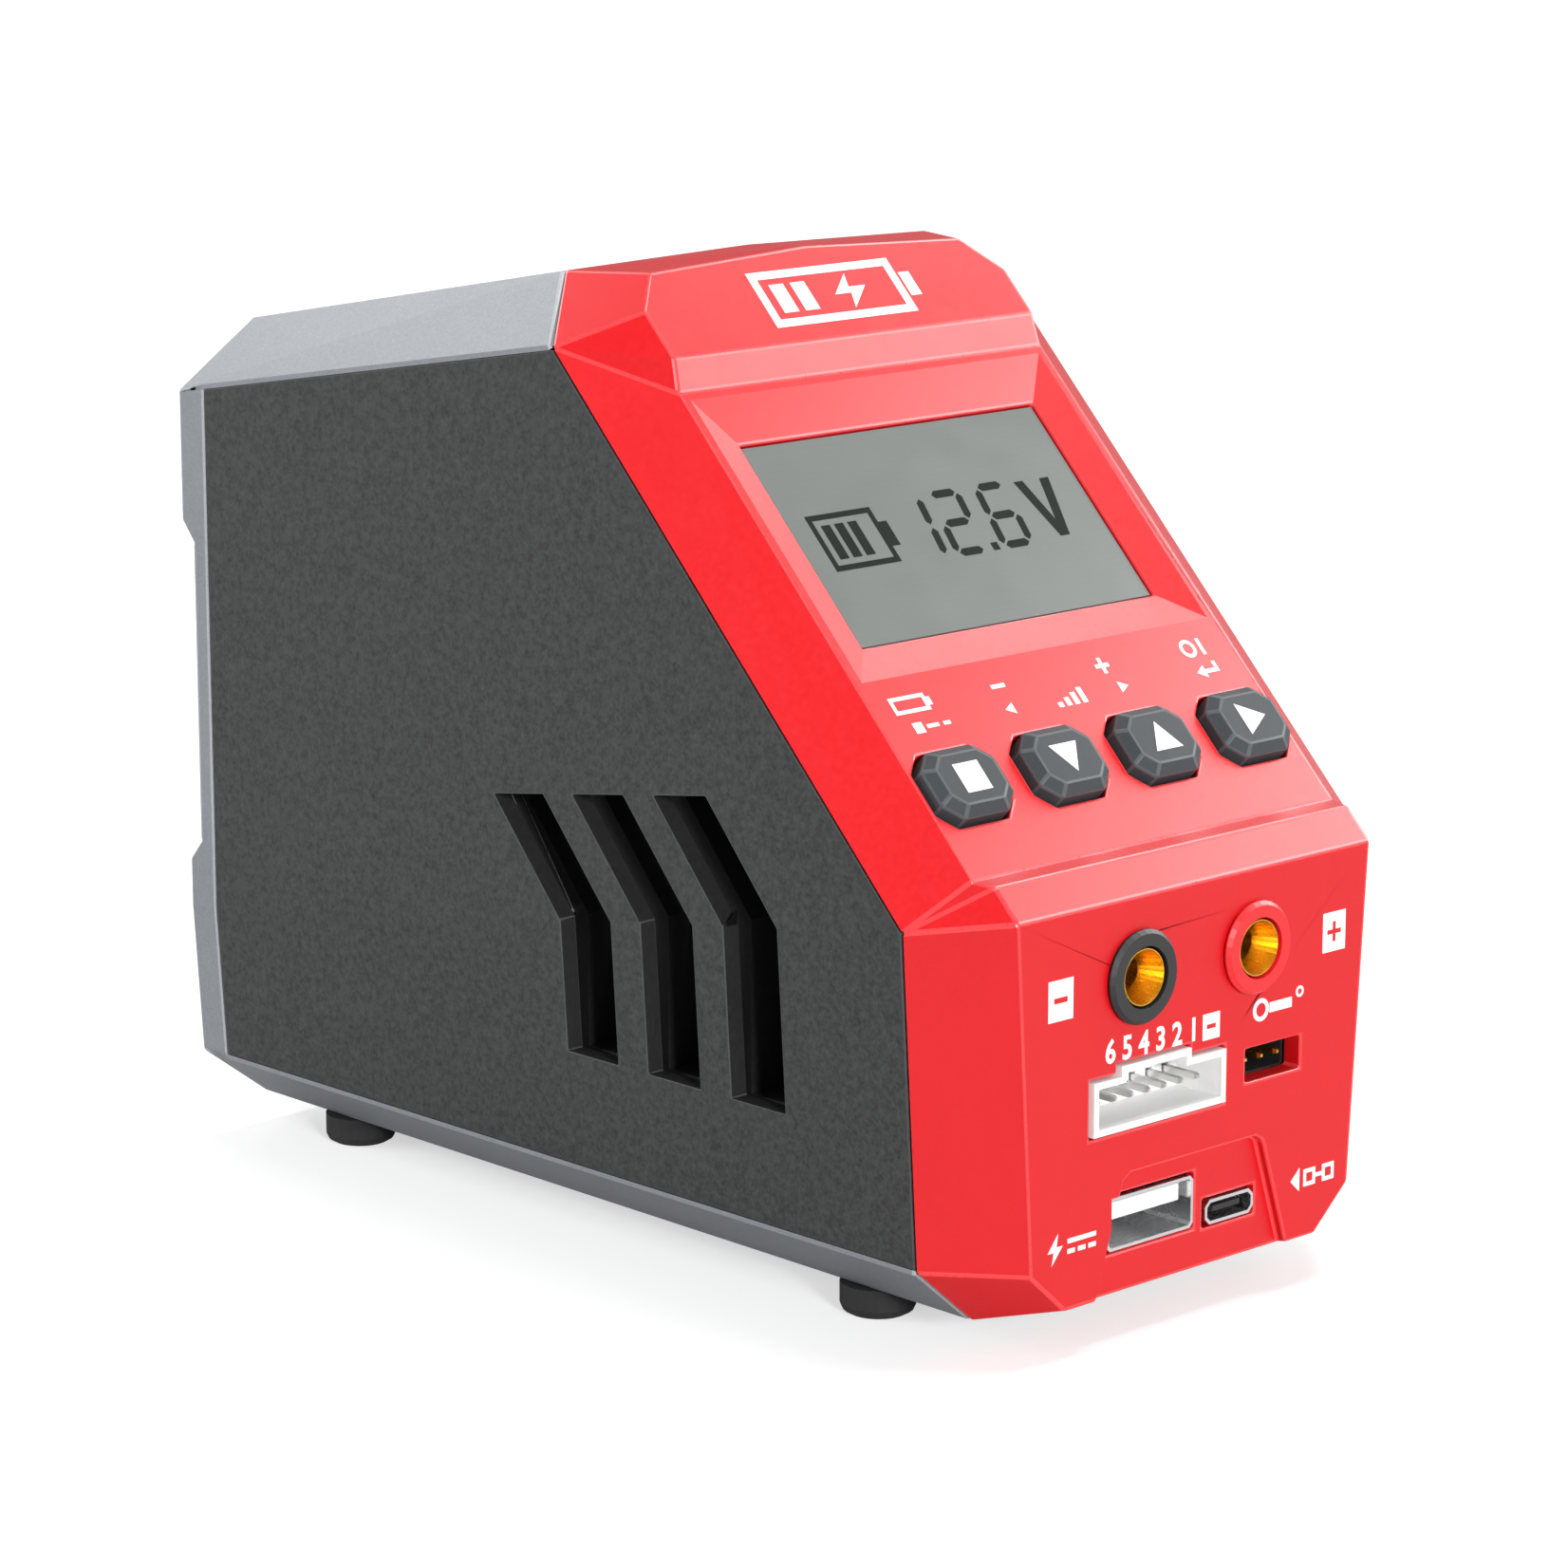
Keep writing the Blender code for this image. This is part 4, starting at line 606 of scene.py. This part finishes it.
WHITE = (1.0, 1.0, 1.0, 1.0)
FLOOR_LIFT = 0.58
WORLD_LIGHT = 0.22
LENS_MM = 119.1
CAMERA_PLACE = (-0.3854, -0.4101, 0.1736)
CAMERA_DOWN, CAMERA_TURN = 12.64, -43.244


def area_light(name, place, target, size, power, gloss_only=False):
    """A rectangular light; a card that lights the gloss only leaves the diffuse colour alone."""
    data = bpy.data.lights.new(name, "AREA")
    data.shape = "RECTANGLE"
    data.size, data.size_y = size
    data.energy = power
    obj = bpy.data.objects.new(name, data)
    bpy.context.scene.collection.objects.link(obj)
    obj.location = place
    obj.rotation_euler = (Vector(target) - Vector(place)).to_track_quat("-Z", "Y").to_euler()
    obj.visible_camera = False
    obj.visible_diffuse = not gloss_only


def sun_light(name, towards, strength, spread_deg):
    data = bpy.data.lights.new(name, "SUN")
    data.energy = strength
    data.angle = math.radians(spread_deg)
    obj = bpy.data.objects.new(name, data)
    bpy.context.scene.collection.objects.link(obj)
    obj.rotation_euler = Vector(towards).to_track_quat("Z", "Y").to_euler()


def make_floor():
    """A pale floor that the camera sees lifted to white, as on the studio background."""
    bm = bmesh.new()
    bmesh.ops.create_grid(bm, x_segments=1, y_segments=1, size=4.0)
    mesh = bpy.data.meshes.new("floor")
    bm.to_mesh(mesh)
    bm.free()
    floor = bpy.data.objects.new("floor", mesh)
    bpy.context.scene.collection.objects.link(floor)
    pale = moulded("pale_floor", (0.58, 0.58, 0.58), 0.01, 0.75, 2.0, 0.004, cloud_mm=300.0,
                   Emission_Color=WHITE)
    tree = pale.node_tree
    path = tree.nodes.new("ShaderNodeLightPath")
    lift = tree.nodes.new("ShaderNodeMath")
    lift.operation = "MULTIPLY"
    lift.inputs[1].default_value = FLOOR_LIFT
    tree.links.new(path.outputs["Is Camera Ray"], lift.inputs[0])
    shader = tree.nodes["Principled BSDF"]
    tree.links.new(lift.outputs["Value"], shader.inputs["Emission Strength"])
    mesh.materials.append(pale)


def make_world():
    """A white background that gives only a little light."""
    world = bpy.data.worlds.new("studio")
    world.use_nodes = True
    bpy.context.scene.world = world
    tree = world.node_tree
    sky = tree.nodes["Background"]
    seen = tree.nodes.new("ShaderNodeBackground")
    for shader, strength in ((sky, WORLD_LIGHT), (seen, 1.0)):
        shader.inputs["Color"].default_value = WHITE
        shader.inputs["Strength"].default_value = strength
    path = tree.nodes.new("ShaderNodeLightPath")
    mix = tree.nodes.new("ShaderNodeMixShader")
    tree.links.new(path.outputs["Is Camera Ray"], mix.inputs["Fac"])
    tree.links.new(sky.outputs["Background"], mix.inputs[1])
    tree.links.new(seen.outputs["Background"], mix.inputs[2])
    tree.links.new(mix.outputs["Shader"], tree.nodes["World Output"].inputs["Surface"])


def make_camera():
    data = bpy.data.cameras.new("camera")
    data.sensor_width = 36.0
    data.lens = LENS_MM
    data.clip_start = 0.01
    camera = bpy.data.objects.new("camera", data)
    bpy.context.scene.collection.objects.link(camera)
    camera.location = CAMERA_PLACE
    camera.rotation_euler = (math.radians(90.0 - CAMERA_DOWN), 0.0, math.radians(CAMERA_TURN))
    bpy.context.scene.camera = camera


make_floor()
make_world()
make_camera()
area_light("slope_card", (0.24, -0.18, 0.185), (0.0, -0.05, 0.06), (0.34, 0.18), 1.8,
           gloss_only=True)
area_light("upper_card", (0.25, 0.07, 0.30), (0.0, -0.02, 0.08), (0.15, 0.15), 0.55,
           gloss_only=True)
area_light("back_card", (0.0, 0.45, 0.42), (-0.02, 0.0, 0.11), (0.4, 0.3), 2.2,
           gloss_only=True)
area_light("back_box", (-0.9, 0.8, 0.35), (0.0, 0.05, 0.05), (0.7, 0.5), 7.0)
sun_light("key_sun", (-0.36, -0.88, 0.28), 3.1, 12.0)
sun_light("sky_sun", (0.18, -0.05, 1.0), 1.9, 24.0)
bpy.context.scene.view_settings.view_transform = "Standard"
